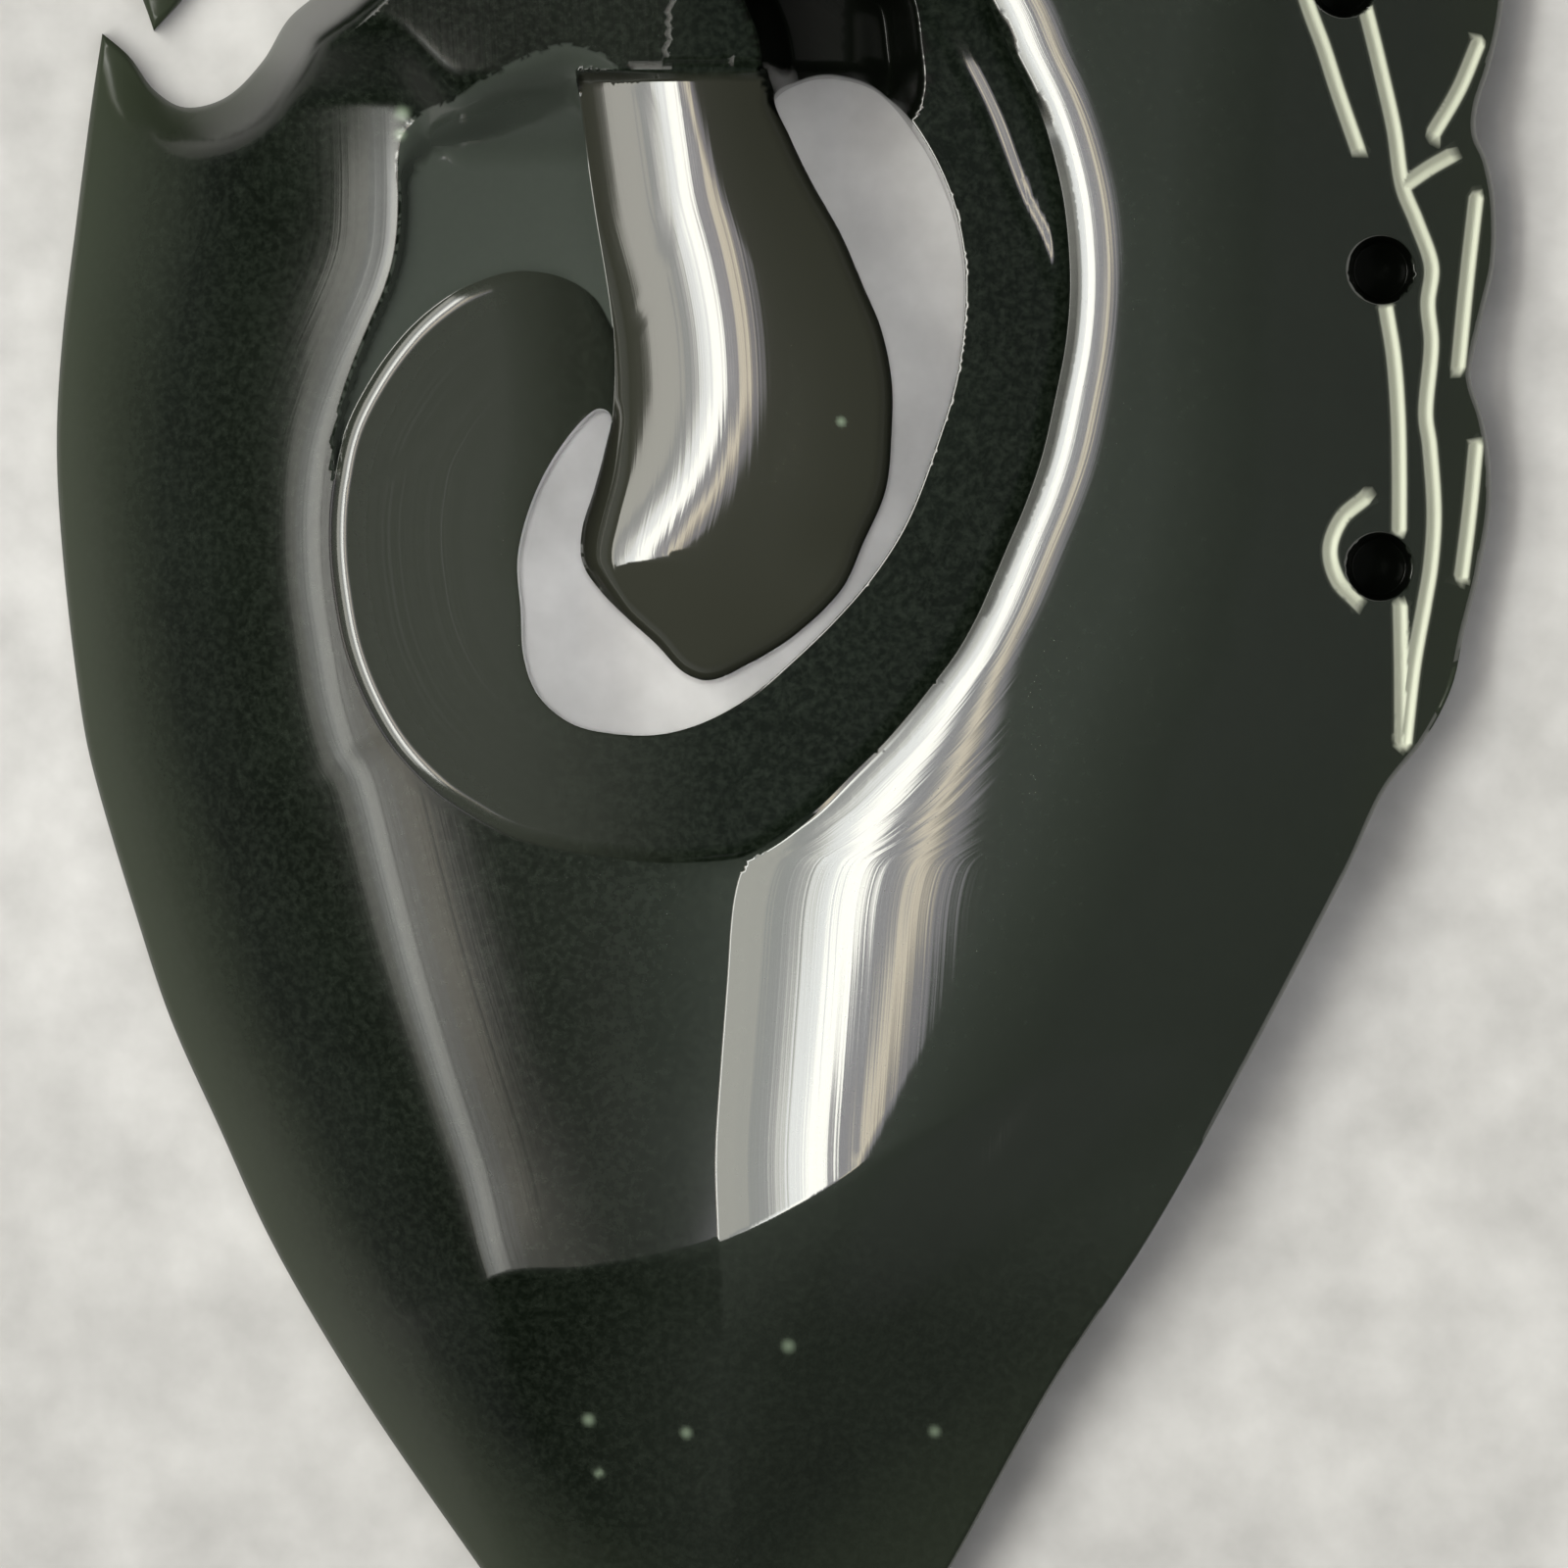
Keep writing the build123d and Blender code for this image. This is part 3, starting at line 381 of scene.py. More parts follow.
# Lines cut into the crest, the last of them a crescent beside the second pit. Their pale fill is partly
# bare ground stone and partly painted highlight; the crescent's fill is a painted highlight of the pit's
# lit rim.
CREST_LINES = [
    [
        (0.754, 0.779), (0.801, 0.731), (0.822, 0.708), (0.841, 0.685), (0.853, 0.663),
        (0.873, 0.649), (0.894, 0.632), (0.889, 0.617), (0.894, 0.601), (0.886, 0.575),
        (0.892, 0.561), (0.898, 0.536), (0.894, 0.516), (0.885, 0.500), (0.870, 0.476),
        (0.858, 0.446),
    ],
    [(0.673, 0.776), (0.718, 0.734), (0.742, 0.716), (0.762, 0.699), (0.790, 0.677)],
    [(0.830, 0.615), (0.841, 0.596), (0.847, 0.574), (0.849, 0.551), (0.849, 0.529)],
    [(0.851, 0.499), (0.853, 0.475), (0.854, 0.446)],
    [(0.855, 0.663), (0.890, 0.670), (0.920, 0.675)],
    [(0.897, 0.684), (0.932, 0.701), (0.959, 0.719)],
    [(0.957, 0.659), (0.944, 0.627), (0.932, 0.593)],
    [(0.957, 0.562), (0.948, 0.536), (0.937, 0.511)],
    # Painted highlight: a shallow crescent cut whose pale fill stands for the lit rim of the second pit
    [(0.800, 0.541), (0.768, 0.533), (0.752, 0.521), (0.763, 0.509), (0.790, 0.501)],
]

# Soft line along the ring's right arm
ARM_LINE = [
    (0.145, 0.757), (0.198, 0.734), (0.245, 0.711), (0.285, 0.688), (0.325, 0.658),
    (0.355, 0.641), (0.376, 0.625),
]

# Blind drilled pits of the crest
PITS = [(0.824, 0.630), (0.822, 0.5145), (0.770, 0.741)]

# Circles of points round a pit: each one's share of the pit's radius, and its number of points
PIT_CIRCLES = [(1.06, 60), (1.0, 58), (0.95, 56), (0.88, 54), (0.81, 50), (0.75, 44), (0.5, 26), (0.2, 10)]

# Pale flecks in the stone, and two pale spots of painted highlight, each with its diameter in millimetres
FLECKS_AND_GLINTS = [
    (-0.264, 0.182, 0.45),
    (-0.130, 0.177, 0.42),
    (-0.250, 0.161, 0.36),
    (0.211, 0.177, 0.42),
    (0.010, 0.211, 0.50),
    (0.082, 0.570, 0.34),
    # The last two are painted highlight: pale spots at the top end of the roll's ridge highlight, beside
    # the recess
    (-0.518, 0.690, 0.55),
    (-0.521, 0.682, 0.45),
]


def places(table):
    """Turn shares of the plan into millimetres."""
    rows = np.array([row[:2] for row in table])
    return np.column_stack((rows[:, 0] * width / 2, (rows[:, 1] - 0.5) * length))


def walk(points, step, loop=False):
    """Draw a smooth curve through the points and step along it evenly."""
    if loop:
        points = np.vstack((points[-1:], points, points[:2]))
    else:
        points = np.vstack((2 * points[0] - points[1], points, 2 * points[-1] - points[-2]))
    chords = np.sqrt(np.linalg.norm(np.diff(points, axis=0), axis=1))
    knots = np.concatenate(([0], np.cumsum(chords)))
    slopes = (points[2:] - points[:-2]) / (knots[2:] - knots[:-2])[:, None]
    t = np.linspace(0, 1, 16, endpoint=False)[:, None]
    spans = []
    for i in range(1, len(points) - 2):
        span = knots[i + 1] - knots[i]
        start, end = points[i], points[i + 1]
        leave, arrive = slopes[i - 1] * span, slopes[i] * span
        bend = (2 * t**3 - 3 * t**2 + 1) * start + (3 * t**2 - 2 * t**3) * end
        spans.append(bend + (t**3 - 2 * t**2 + t) * leave + (t**3 - t**2) * arrive)
    fine = np.vstack(spans + [points[-2:-1]])
    run = np.concatenate(([0], np.cumsum(np.linalg.norm(np.diff(fine, axis=0), axis=1))))
    count = max(2, int(np.ceil(run[-1] / step)))
    stops = np.linspace(0, run[-1], count + 1)
    line = np.column_stack((np.interp(stops, run, fine[:, 0]), np.interp(stops, run, fine[:, 1])))
    return line[:-1] if loop else line


def beside(line, gap, loop=False):
    """Points at a distance to the left of a line."""
    if loop:
        run = np.roll(line, -1, axis=0) - np.roll(line, 1, axis=0)
    else:
        run = np.gradient(line, axis=0)
    run = run / np.linalg.norm(run, axis=1)[:, None]
    return line + np.reshape(gap, (-1, 1)) * np.column_stack((-run[:, 1], run[:, 0]))


def nearest(points, line):
    """Distance to a line, share of the line where it is nearest, and +1 on its left or -1 on its right."""
    tree = kdtree.KDTree(len(line))
    for i, (x, y) in enumerate(line.tolist()):
        tree.insert((x, y, 0), i)
    tree.balance()
    find = tree.find
    pick = np.array([find((x, y, 0))[1] for x, y in points.tolist()])
    best = np.full(len(points), 1e9)
    share = np.zeros(len(points))
    side = np.ones(len(points))
    for first in (pick - 1, pick):
        first = np.clip(first, 0, len(line) - 2)
        start, run = line[first], line[first + 1] - line[first]
        offset = points - start
        t = np.clip(np.sum(offset * run, axis=1) / np.sum(run * run, axis=1), 0, 1)
        gap = np.linalg.norm(offset - t[:, None] * run, axis=1)
        closer = gap < best
        best = np.where(closer, gap, best)
        share = np.where(closer, (first + t) / (len(line) - 1), share)
        turn = run[:, 0] * offset[:, 1] - run[:, 1] * offset[:, 0]
        side = np.where(closer, np.where(turn >= 0, 1, -1), side)
    return best, share, side


def near(points, line, reach=1.0):
    """Distance to a line, counted only as far as the reach."""
    gap = np.full(len(points), float(reach))
    close = np.all((points > line.min(axis=0) - reach) & (points < line.max(axis=0) + reach), axis=1)
    if close.any():
        gap[close] = np.minimum(nearest(points[close], line)[0], reach)
    return gap


def inside(points, loop):
    """Say which points lie inside a closed loop."""
    within = np.zeros(len(points), bool)
    box_low, box_high = loop.min(axis=0), loop.max(axis=0)
    close = np.all((points >= box_low) & (points <= box_high), axis=1)
    x, y = points[close, 0], points[close, 1]
    odd = np.zeros(len(x), bool)
    for (ax, ay), (bx, by) in zip(loop, np.roll(loop, -1, axis=0)):
        if ay != by:
            odd ^= ((ay > y) != (by > y)) & (x < ax + (y - ay) * (bx - ax) / (by - ay))
    within[close] = odd
    return within


def ease(share):
    """Go smoothly from 0 to 1."""
    share = np.clip(share, 0, 1)
    return share * share * (3 - 2 * share)


def rising(value, place):
    """Go smoothly from 0 at a place to 1 at the end of its reach."""
    return ease((value - place[0]) / place[1])


def falling(value, place):
    """Go smoothly from 1, a reach before the place, to 0 at the place."""
    return ease((place[0] - value) / place[1])


def fade(share):
    """Fall from 1 at an edge to 0, and run out level."""
    return (1 - np.clip(share, 0, 1)) ** 2


def along_plan(points):
    """Share of the length, from 0 at the tail tip to 1 at the crown."""
    return points[:, 1] / length + 0.5


def whole(line):
    """Repeat the first point at the end, for distances to the whole loop."""
    return np.vstack((line, line[:1]))


edge_step = 0.12
row_step = 0.08
right_edge = walk(places(RIM), edge_step)
flank_line = walk(places(FLANK), edge_step)
mouth_edge = walk(places(MOUTH), edge_step)
left_edge = walk(places(LEFT), edge_step)
outline = np.vstack((right_edge[:-1], mouth_edge[:-1], left_edge[:-1]))
slot = walk(places(SLOT), row_step, loop=True)
ring_line = walk(places(RING), row_step)
foot_start = walk(places(FOOT), row_step)
join = np.linalg.norm(ring_line - foot_start[-1], axis=1).argmin()
foot_line = np.vstack((foot_start[:-1], ring_line[join:])) + (foot_gap, 0)
shoulder_line = walk(places(SHOULDER), row_step)
ridge_line = walk(places(RIDGE), row_step)
tail_line = walk(places(TAIL_LINE), row_step)
tongue_left = walk(places(TONGUE_LEFT), row_step)
tongue_turn = walk(places(TONGUE_TURN), row_step)
tongue_tip = walk(places(TONGUE_TIP), row_step)
tongue_right = walk(places(TONGUE_RIGHT), row_step)
arm_line = walk(places(ARM_LINE), row_step)
recess = walk(places(RECESS), row_step, loop=True)
pocket = walk(places(POCKET), row_step, loop=True)
crest_lines = [walk(places(table), 0.06) for table in CREST_LINES]
pits = places(PITS)
hole_place = np.array([0.0, length / 2 - cord_hole_inset])
hole_sides = 72
round_hole = np.arange(hole_sides) * 2 * np.pi / hole_sides
hole = hole_place - cord_hole / 2 * np.column_stack((np.cos(round_hole), -np.sin(round_hole)))

tongue = np.vstack((tongue_left, tongue_tip[1:], tongue_right[1:]))
under_tongue = places(UNDER_TONGUE)
ring = np.vstack((ring_line, under_tongue))


def column(share, line, table, number):
    """A column of a table, read at shares of the line that the table draws."""
    knots = nearest(places(table), line)[1]
    return np.interp(share, knots, [row[number] for row in table])


def flank_column(points, share, number):
    """A column of the flank's table, read straight across the plan on the right side, else by the line."""
    along = along_plan(points)
    right_side = [row for row in FLANK[: len(FLANK) // 2] if row[1] <= right_side_along[0]]
    straight = np.interp(along, [row[1] for row in right_side], [row[number] for row in right_side])
    by_line = column(share, flank_line, FLANK, number)
    on_right_side = falling(along, right_side_along) * rising(points[:, 0], right_side_across)
    return by_line + (straight - by_line) * on_right_side


def flank_rise(share):
    """Rise across a flank from 0 at its edge to 1, straight at first and then easing off."""
    share = np.clip(share, 0, 1)
    steep = 2 / (1 + flank_straight)
    easing = 1 - steep * (1 - share) ** 2 / (2 * (1 - flank_straight))
    return np.where(share < flank_straight, steep * share, easing)


def carve(points):
    """Height of the carved face at each point of the plan."""
    x = points[:, 0]
    along = along_plan(points)
    headward = np.maximum(rising(along, head_along), rising(along, cheek_along) * rising(x, cheek_across))

    # The roll climbs from the left edge to its ridge, and leans gently beyond it
    to_left_edge, _, _ = nearest(points, left_edge)
    to_ridge, _, ridge_side = nearest(points, ridge_line)
    climb = np.where(ridge_side > 0, 1, to_left_edge / np.maximum(to_left_edge + to_ridge, hair))
    climb = climb + roll_fullness * climb * (1 - climb)
    rise = climb + (1 - climb) * headward
    to_flank, on_flank, _ = nearest(points, flank_line)
    to_mouth, on_mouth, _ = nearest(points, mouth_edge)
    rise = rise * flank_rise(to_flank / (flank * flank_column(points, on_flank, 2)))
    rise = rise * flank_rise(to_mouth / (flank * column(on_mouth, mouth_edge, MOUTH, 2)))
    lean = ridge_slope * valley_lean / 2 * np.where(ridge_side > 0, fade(to_ridge / valley_lean), 1)
    lean = lean + ridge_kink / (4 * ridge_round) * np.maximum(ridge_round - to_ridge, 0) ** 2
    lean = lean * (1 - headward)

    # The face falls a little towards the tail, and more below the tail line
    late = np.maximum(late_along - along, 0) * length
    to_tail, _, tail_side = nearest(points, tail_line)
    below = np.where((tail_side < 0) & (along < tail_along), to_tail, 0)
    below = np.where(below < tail_bend, below * below / (2 * tail_bend), below - tail_bend / 2)
    fall = late_fall * late * late / (late + late_bend) + tail_slope * below
    fall = fall + tail_lip * (1 - (1 - np.clip(below / tail_lip_width, 0, 1)) ** 3)
    off_centre = (2 * x / width) ** 2 + (2 * along - 2 * dome_along) ** 2
    rim_right = thickness * flank_column(points, on_flank, 3)
    rim = rim_left + (rim_right - rim_left) * rising(x, rim_across)
    top = thickness - rim - dome * off_centre - fall

    # The left side lies lower than the right field, with a slope between them
    to_foot, _, _ = nearest(points, foot_line)
    to_ring, _, _ = nearest(points, ring_line)
    foot_x = np.interp(points[:, 1], foot_line[:, 1], foot_line[:, 0])
    slope_width = np.interp(points[:, 1], shoulder_line[:, 1], shoulder_line[:, 0]) - foot_x
    slope = foot_slope + (ring_slope - foot_slope) * rising(along, wall_along)
    foot_drop = slope * slope_width / 2
    share = (x - foot_x) / np.maximum(slope_width, hair)
    merge = ease(below / tail_merge)
    drop_right = foot_drop * (fade(share) * (1 - merge) + merge)
    far_drop = left_drop * falling(along, (left_along + lip_shift * falling(x, lip_across), left_reach))
    drop_left = foot_drop + (far_drop - foot_drop) * (1 - fade(to_foot / valley_width))
    level = rim + top * rise
    outer = level - (np.where(share > 0, drop_right, drop_left) + lean) * rise

    # The ring's top leans gently, and its edge is rounded down into the seam
    to_turn, _, turn_side = nearest(points, tongue_turn)
    in_tongue = inside(points, tongue)
    in_ring = inside(points, ring) & ~in_tongue
    arm_rise = rising(along, arm_along)
    crown_join = rising(along, crown_along) * (1 - rising(x, crown_across))
    ring_top = ring_left + ring_tilt * (x + ring_reach)
    ring_top = ring_top + (level - ring_top) * np.maximum(arm_rise, crown_join)
    ring_top = np.minimum(ring_top, level)
    edge_drop = np.maximum(ring_top - outer, 0) + seam_depth * (1 - arm_rise)
    ring_height = ring_top - edge_drop * fade(to_ring / ring_edge)
    dive = fade(to_turn / dive_width) * rising(along, dive_start) * falling(along, dive_end)
    ring_height = ring_height - head_dive * dive
    to_pocket = near(points, whole(pocket))
    sunk = pocket_depth * ease(to_pocket / pocket_wall)
    ring_height = ring_height - np.where(inside(points, pocket), sunk, 0)
    ring_height = ring_height - arm_line_depth * (1 - ease(2 * near(points, arm_line) / arm_line_width))

    # The lowered ground beside the tongue
    to_recess = near(points, whole(recess), recess_end)
    recess_wall = recess_edge + (recess_end - recess_edge) * rising(along, recess_along)
    ground = level - (far_drop + ridge_slope * valley_lean / 2 + recess_depth) * rise
    outer = outer + (ground - outer) * np.where(inside(points, recess), ease(to_recess / recess_wall), 0)

    # The tongue, a long ridge that turns down on its left and falls to its tip
    tip_share = np.clip((tip_along[0] - along) / tip_along[1], 0, 1)
    slope = tongue_slope - tip_slope_loss * tip_share**tip_power
    over = np.where(turn_side > 0, 0, to_turn)
    curl = np.maximum(slope - tongue_bend * np.where(turn_side > 0, to_turn, 0), 0) ** 2 / (2 * tongue_bend)
    curl = curl + slope * over + tongue_side * over * over
    curl = curl + tip_bend / 2 * (np.maximum(tip_start - along, 0) * length) ** 2
    curl = curl + right_fall * fade(near(points, tongue_right, right_round) / right_round)
    tongue_height = level - falling(along, tongue_top) * curl

    height = np.where(in_tongue, tongue_height, np.where(in_ring, ring_height, outer))

    # Rounded edges of the pierced slot and the cord hole
    to_slot = near(points, whole(slot))
    to_hole = np.abs(np.linalg.norm(points - hole_place, axis=1) - cord_hole / 2)
    slot_edge = np.where(in_tongue, tongue_edge, ring_inner_edge)
    to_rim = near(points, whole(outline))
    for gap, edge in ((to_slot, slot_edge), (to_hole, cord_hole_edge), (to_rim, rim_edge)):
        short = np.clip(edge - gap, 0, edge)
        height = height - edge + np.sqrt(edge**2 - short**2)

    # Cut lines and drilled pits of the crest
    cut = np.zeros(len(points))
    for line in crest_lines:
        cut = np.maximum(cut, line_depth * (1 - ease(2 * near(points, line) / line_width)))
    for pit in pits:
        gap = np.linalg.norm(points - pit, axis=1) / (pit_diameter / 2)
        cut = np.maximum(cut, pit_depth * (1 - ease((gap - pit_floor) / (1 - pit_floor))))
    return height - cut


def surface_marks(points):
    """What the tools, the polish and the stone itself left at each point of the face, and where shade,
    highlights and a sheen are painted on.
    """
    x = points[:, 0]
    along = along_plan(points)
    in_tongue = inside(points, tongue)
    in_ring = inside(points, ring) & ~in_tongue
    in_recess = inside(points, recess) & ~in_tongue & ~in_ring
    to_ring, _, _ = nearest(points, ring_line)
    to_turn, _, turn_side = nearest(points, tongue_turn)
    to_foot, _, _ = nearest(points, foot_line)
    to_ridge, _, ridge_side = nearest(points, ridge_line)
    to_recess = near(points, whole(recess))
    foot_x = np.interp(points[:, 1], foot_line[:, 1], foot_line[:, 0])
    on_right = (x > foot_x) & ~in_tongue & ~in_ring
    on_left = ~on_right & ~in_tongue & ~in_ring

    # Pale fill in the cut lines, partly bare ground stone and partly a painted highlight of their lit
    # walls, but not where a pit is drilled through them
    cut = np.zeros(len(points))
    for line in crest_lines:
        cut = np.maximum(cut, falling(near(points, line), cut_mark_gap))
    # Painted shade: the pocket and the pits are darkened
    dark = inside(points, pocket).astype(float)
    for pit in pits:
        gap = np.linalg.norm(points - pit, axis=1) / (pit_diameter / 2)
        cut = cut * rising(gap, pit_mark_gap)
        dark = np.maximum(dark, gap < pit_shade)

    # Pale flecks, and two spots of painted highlight
    fleck_and_glint = np.zeros(len(points))
    for place, row in zip(places(FLECKS_AND_GLINTS), FLECKS_AND_GLINTS):
        gap = np.linalg.norm(points - place, axis=1)
        fleck_and_glint = np.maximum(fleck_and_glint, 1 - ease(gap / (row[2] / 2)))

    # How the polishing strokes ran, as the distance across them in millimetres.
    # Each form's strokes are numbered far from the others', so that none run on over a seam.
    ring_strokes, wall_strokes, roll_strokes = 30, 60, 90
    strokes = np.where(in_tongue, to_turn * turn_side, to_ridge * ridge_side + roll_strokes)
    strokes = np.where(on_right, x - foot_x + wall_strokes, strokes)
    strokes = np.where(in_ring, to_ring + ring_strokes, strokes)

    # The strokes die out beside every seam and edge, and in the valley near the slope's foot
    seam = np.minimum(np.minimum(to_ring, to_foot), near(points, whole(tongue)))
    seam = np.minimum(seam, np.minimum(to_recess, near(points, whole(slot))))
    calm = rising(seam, seam_calm_gap)
    calm = np.where(on_left, calm * rising(to_foot, foot_calm_gap), calm)

    # The roll and the ring's left edge kept less polish, and the pocket and the pits none
    polish = np.ones(len(points))
    roll = roll_polish + upper_roll_polish * rising(along, upper_roll_along)
    roll = roll * falling(along, lip_dull_along)
    roll = roll + (1 - roll) * falling(to_foot, foot_polish_gap) * falling(along, foot_polish_along)
    polish = np.where(on_left, roll, polish)
    worn_ring = falling(x, worn_ring_across) * (1 - rising(to_ring, worn_ring_gap))
    polish = np.where(in_ring, 1 - ring_polish_loss * worn_ring, polish)
    polish = np.where(in_recess, recess_polish, polish)
    polish = polish * (1 - dark)

    # Cloudy grey tone of the field, the valley and the recess, and brown tone of the tongue; on the ring's
    # left part the grey and the brown are a painted sheen, for the dim reflection on its tilted top
    towards_tail = falling(along, tail_cloud_along)
    valley = valley_cloud * fade(to_foot / valley_cloud_width) * falling(along, valley_cloud_end)
    valley = valley * rising(along, valley_cloud_start)
    tail = tail_cloud * towards_tail * rising(x, tail_cloud_across)
    cloudy_and_sheen = np.where(on_right, field_cloud - field_cloud_loss * towards_tail, np.maximum(valley, tail))
    cloudy_and_sheen = np.where(in_recess, recess_cloud, cloudy_and_sheen)
    # Painted sheen: the ring's left part is tinted lighter brown-grey for the dim reflection on its top
    left_ring = falling(x, left_ring_across)
    cloudy_and_sheen = np.where(in_ring, ring_sheen_grey * left_ring, np.where(in_tongue, 0, cloudy_and_sheen))
    brown_and_sheen = np.where(in_tongue, falling(along, tongue_top), np.where(in_ring, ring_sheen_brown * left_ring, 0.0))
    marks = {"cut": cut, "fleck_and_glint": fleck_and_glint, "strokes": strokes, "calm": calm, "polish": polish, "dark": dark}
    marks.update({"cloudy_and_sheen": cloudy_and_sheen, "brown_and_sheen": brown_and_sheen})
    return marks


def settle(start, rows):
    """Keep the points of each row that stay clear of everything placed before it."""
    cell = 0.02
    margin = 1
    low = start.min(axis=0) - margin
    size = ((start.max(axis=0) + margin - low) / cell).astype(int)
    taken = np.zeros(tuple(size), bool)
    spot = ((start - low) / cell).astype(int)
    taken[spot[:, 0], spot[:, 1]] = True
    kept = [start]
    for row, clear in rows:
        spot = ((row - low) / cell).astype(int)
        free = np.ones(len(row), bool)
        reach = int(clear / cell)
        for i in range(-reach, reach + 1):
            for j in range(-reach, reach + 1):
                if i * i + j * j <= (clear / cell) ** 2:
                    free &= ~taken[spot[:, 0] + i, spot[:, 1] + j]
        kept.append(row[free])
        taken[spot[free, 0], spot[free, 1]] = True
    return np.vstack(kept)


def plan_points():
    """Points of the plan: the edges first, then rows along each feature, then an even field."""
    rows = []

    def follow(line, gaps, clear, loop=False):
        """Add rows at the given gaps to the left of a line, each point so clear of earlier ones."""
        for gap in gaps:
            row = beside(line, gap, loop=loop)
            true = nearest(row, whole(line) if loop else line)[0] >= abs(gap) * 0.97 - hair
            rows.append((row[true], clear))

    for line in crest_lines:
        follow(line, (0, 0.05, -0.05, 0.11, -0.11, 0.155, -0.155, 0.21, -0.21, 0.27, -0.27), 0.035)
    for pit in pits:
        for share, count in PIT_CIRCLES:
            around = np.arange(count) * 2 * np.pi / count
            circle = pit + share * pit_diameter / 2 * np.column_stack((np.cos(around), np.sin(around)))
            rows.append((circle, 0.04))
    follow(tongue_left, (0.025, -0.025), 0.03)
    follow(tongue_right[len(tongue_right) // 2 :], (0.025, -0.025), 0.03)
    follow(ring_line, (0.025, -0.025), 0.03)
    follow(slot, (0.02, 0.05, 0.09, 0.14, 0.2, 0.28, 0.36, 0.44), 0.04, loop=True)
    follow(outline, (0.03, 0.08, 0.15, 0.25, 0.38, 0.52), 0.05, loop=True)
    follow(hole, (0.03, 0.09, 0.18, 0.30, 0.45), 0.04, loop=True)
    follow(ring_line, (0.08, 0.15, 0.23, 0.32, 0.42, 0.53, 0.65, 0.78, -0.09, -0.18, -0.3), 0.05)
    follow(recess, (0.0, 0.06, 0.12, 0.18, 0.24, 0.3, 0.36, -0.07), 0.045, loop=True)
    follow(pocket, (0, -0.12, -0.24, -0.36, -0.48, -0.6, -0.75, -0.9), 0.05, loop=True)
    follow(tongue_turn, (0, 0.09, -0.09, 0.2, -0.2), 0.05)
    follow(ridge_line, (0, 0.1, -0.1, 0.2, -0.2, 0.3, -0.3, 0.42, -0.42, 0.55, -0.55), 0.06)
    follow(foot_line, (0, 0.07, -0.07, -0.15, 0.15), 0.05)
    follow(tail_line, (0, -0.1, -0.2, -0.3), 0.06)
    follow(arm_line, (0, 0.12, -0.12, 0.24, -0.24, 0.36, -0.36), 0.06)
    for px, py in places(FLECKS_AND_GLINTS):
        grid = np.arange(-4, 5) * 0.07
        rows.append((np.array([(px + i, py + j) for i in grid for j in grid]), 0.05))
    square_end = places(SQUARE_END)
    for rise in (0, 0.1, 0.2, 0.3):
        rows.append((walk(square_end + (0, rise), 0.09), 0.05))

    # An even field between the features, finer where a highlight rests
    for step, fine in ((0.15, True), (0.21, False)):
        across = np.arange(-width / 2, width / 2, step)
        up = np.arange(-length / 2, length / 2, step * 0.87)
        field = np.array([(px + step / 2 * (i % 2), py) for i, py in enumerate(up) for px in across])
        if fine:
            close = nearest(field, ring_line)[0] < 1.0
            close |= nearest(field, tongue_turn)[0] < 3.5
            close |= nearest(field, ridge_line)[0] < 1.4
            close &= field[:, 1] < 0.24 * length
            field = field[close]
        rows.append((field, step * 0.75))

    checked = []
    for row, clear in rows:
        row = row[inside(row, outline) & ~inside(row, slot) & ~inside(row, hole)]
        checked.append((row, clear))
    return settle(np.vstack((outline, slot, hole)), checked)


def flat_plan(points):
    """Triangles between the points, without those outside the edge or over an opening."""
    loops = []
    first = 0
    for loop in (outline, slot, hole):
        count = len(loop)
        loops += [(first + i, first + (i + 1) % count) for i in range(count)]
        first += count
    flat = [Vector((x, y)) for x, y in points.tolist()]
    verts, _, faces, _, _, _ = geometry.delaunay_2d_cdt(flat, loops, [], 0, 1e-7)
    placed = np.array([(v.x, v.y) for v in verts])
    corners = np.array([face for face in faces if len(face) == 3])
    middles = placed[corners].mean(axis=1)
    keep = inside(middles, outline) & ~inside(middles, slot) & ~inside(middles, hole)
    corners = corners[keep]
    a, b, c = (placed[corners[:, i]] for i in range(3))
    area = (b[:, 0] - a[:, 0]) * (c[:, 1] - a[:, 1]) - (b[:, 1] - a[:, 1]) * (c[:, 0] - a[:, 0])
    corners[area < 0] = corners[area < 0][:, ::-1]
    return placed, corners[np.abs(area) > 1e-9]


def face_normals(plan):
    """Exact direction of the carved face at each point, read a little inside the edges."""
    probe_inset = 0.025
    probe = plan.copy()
    first = 0
    for loop in (outline, slot, hole):
        probe[first : first + len(loop)] = beside(loop, probe_inset, loop=True)
        first += len(loop)
    step = 0.008
    here = carve(probe)
    slope_x = (carve(probe + (step, 0)) - here) / step
    slope_y = (carve(probe + (0, step)) - here) / step
    normals = np.column_stack((-slope_x, -slope_y, np.ones(len(plan))))
    return normals / np.linalg.norm(normals, axis=1)[:, None]


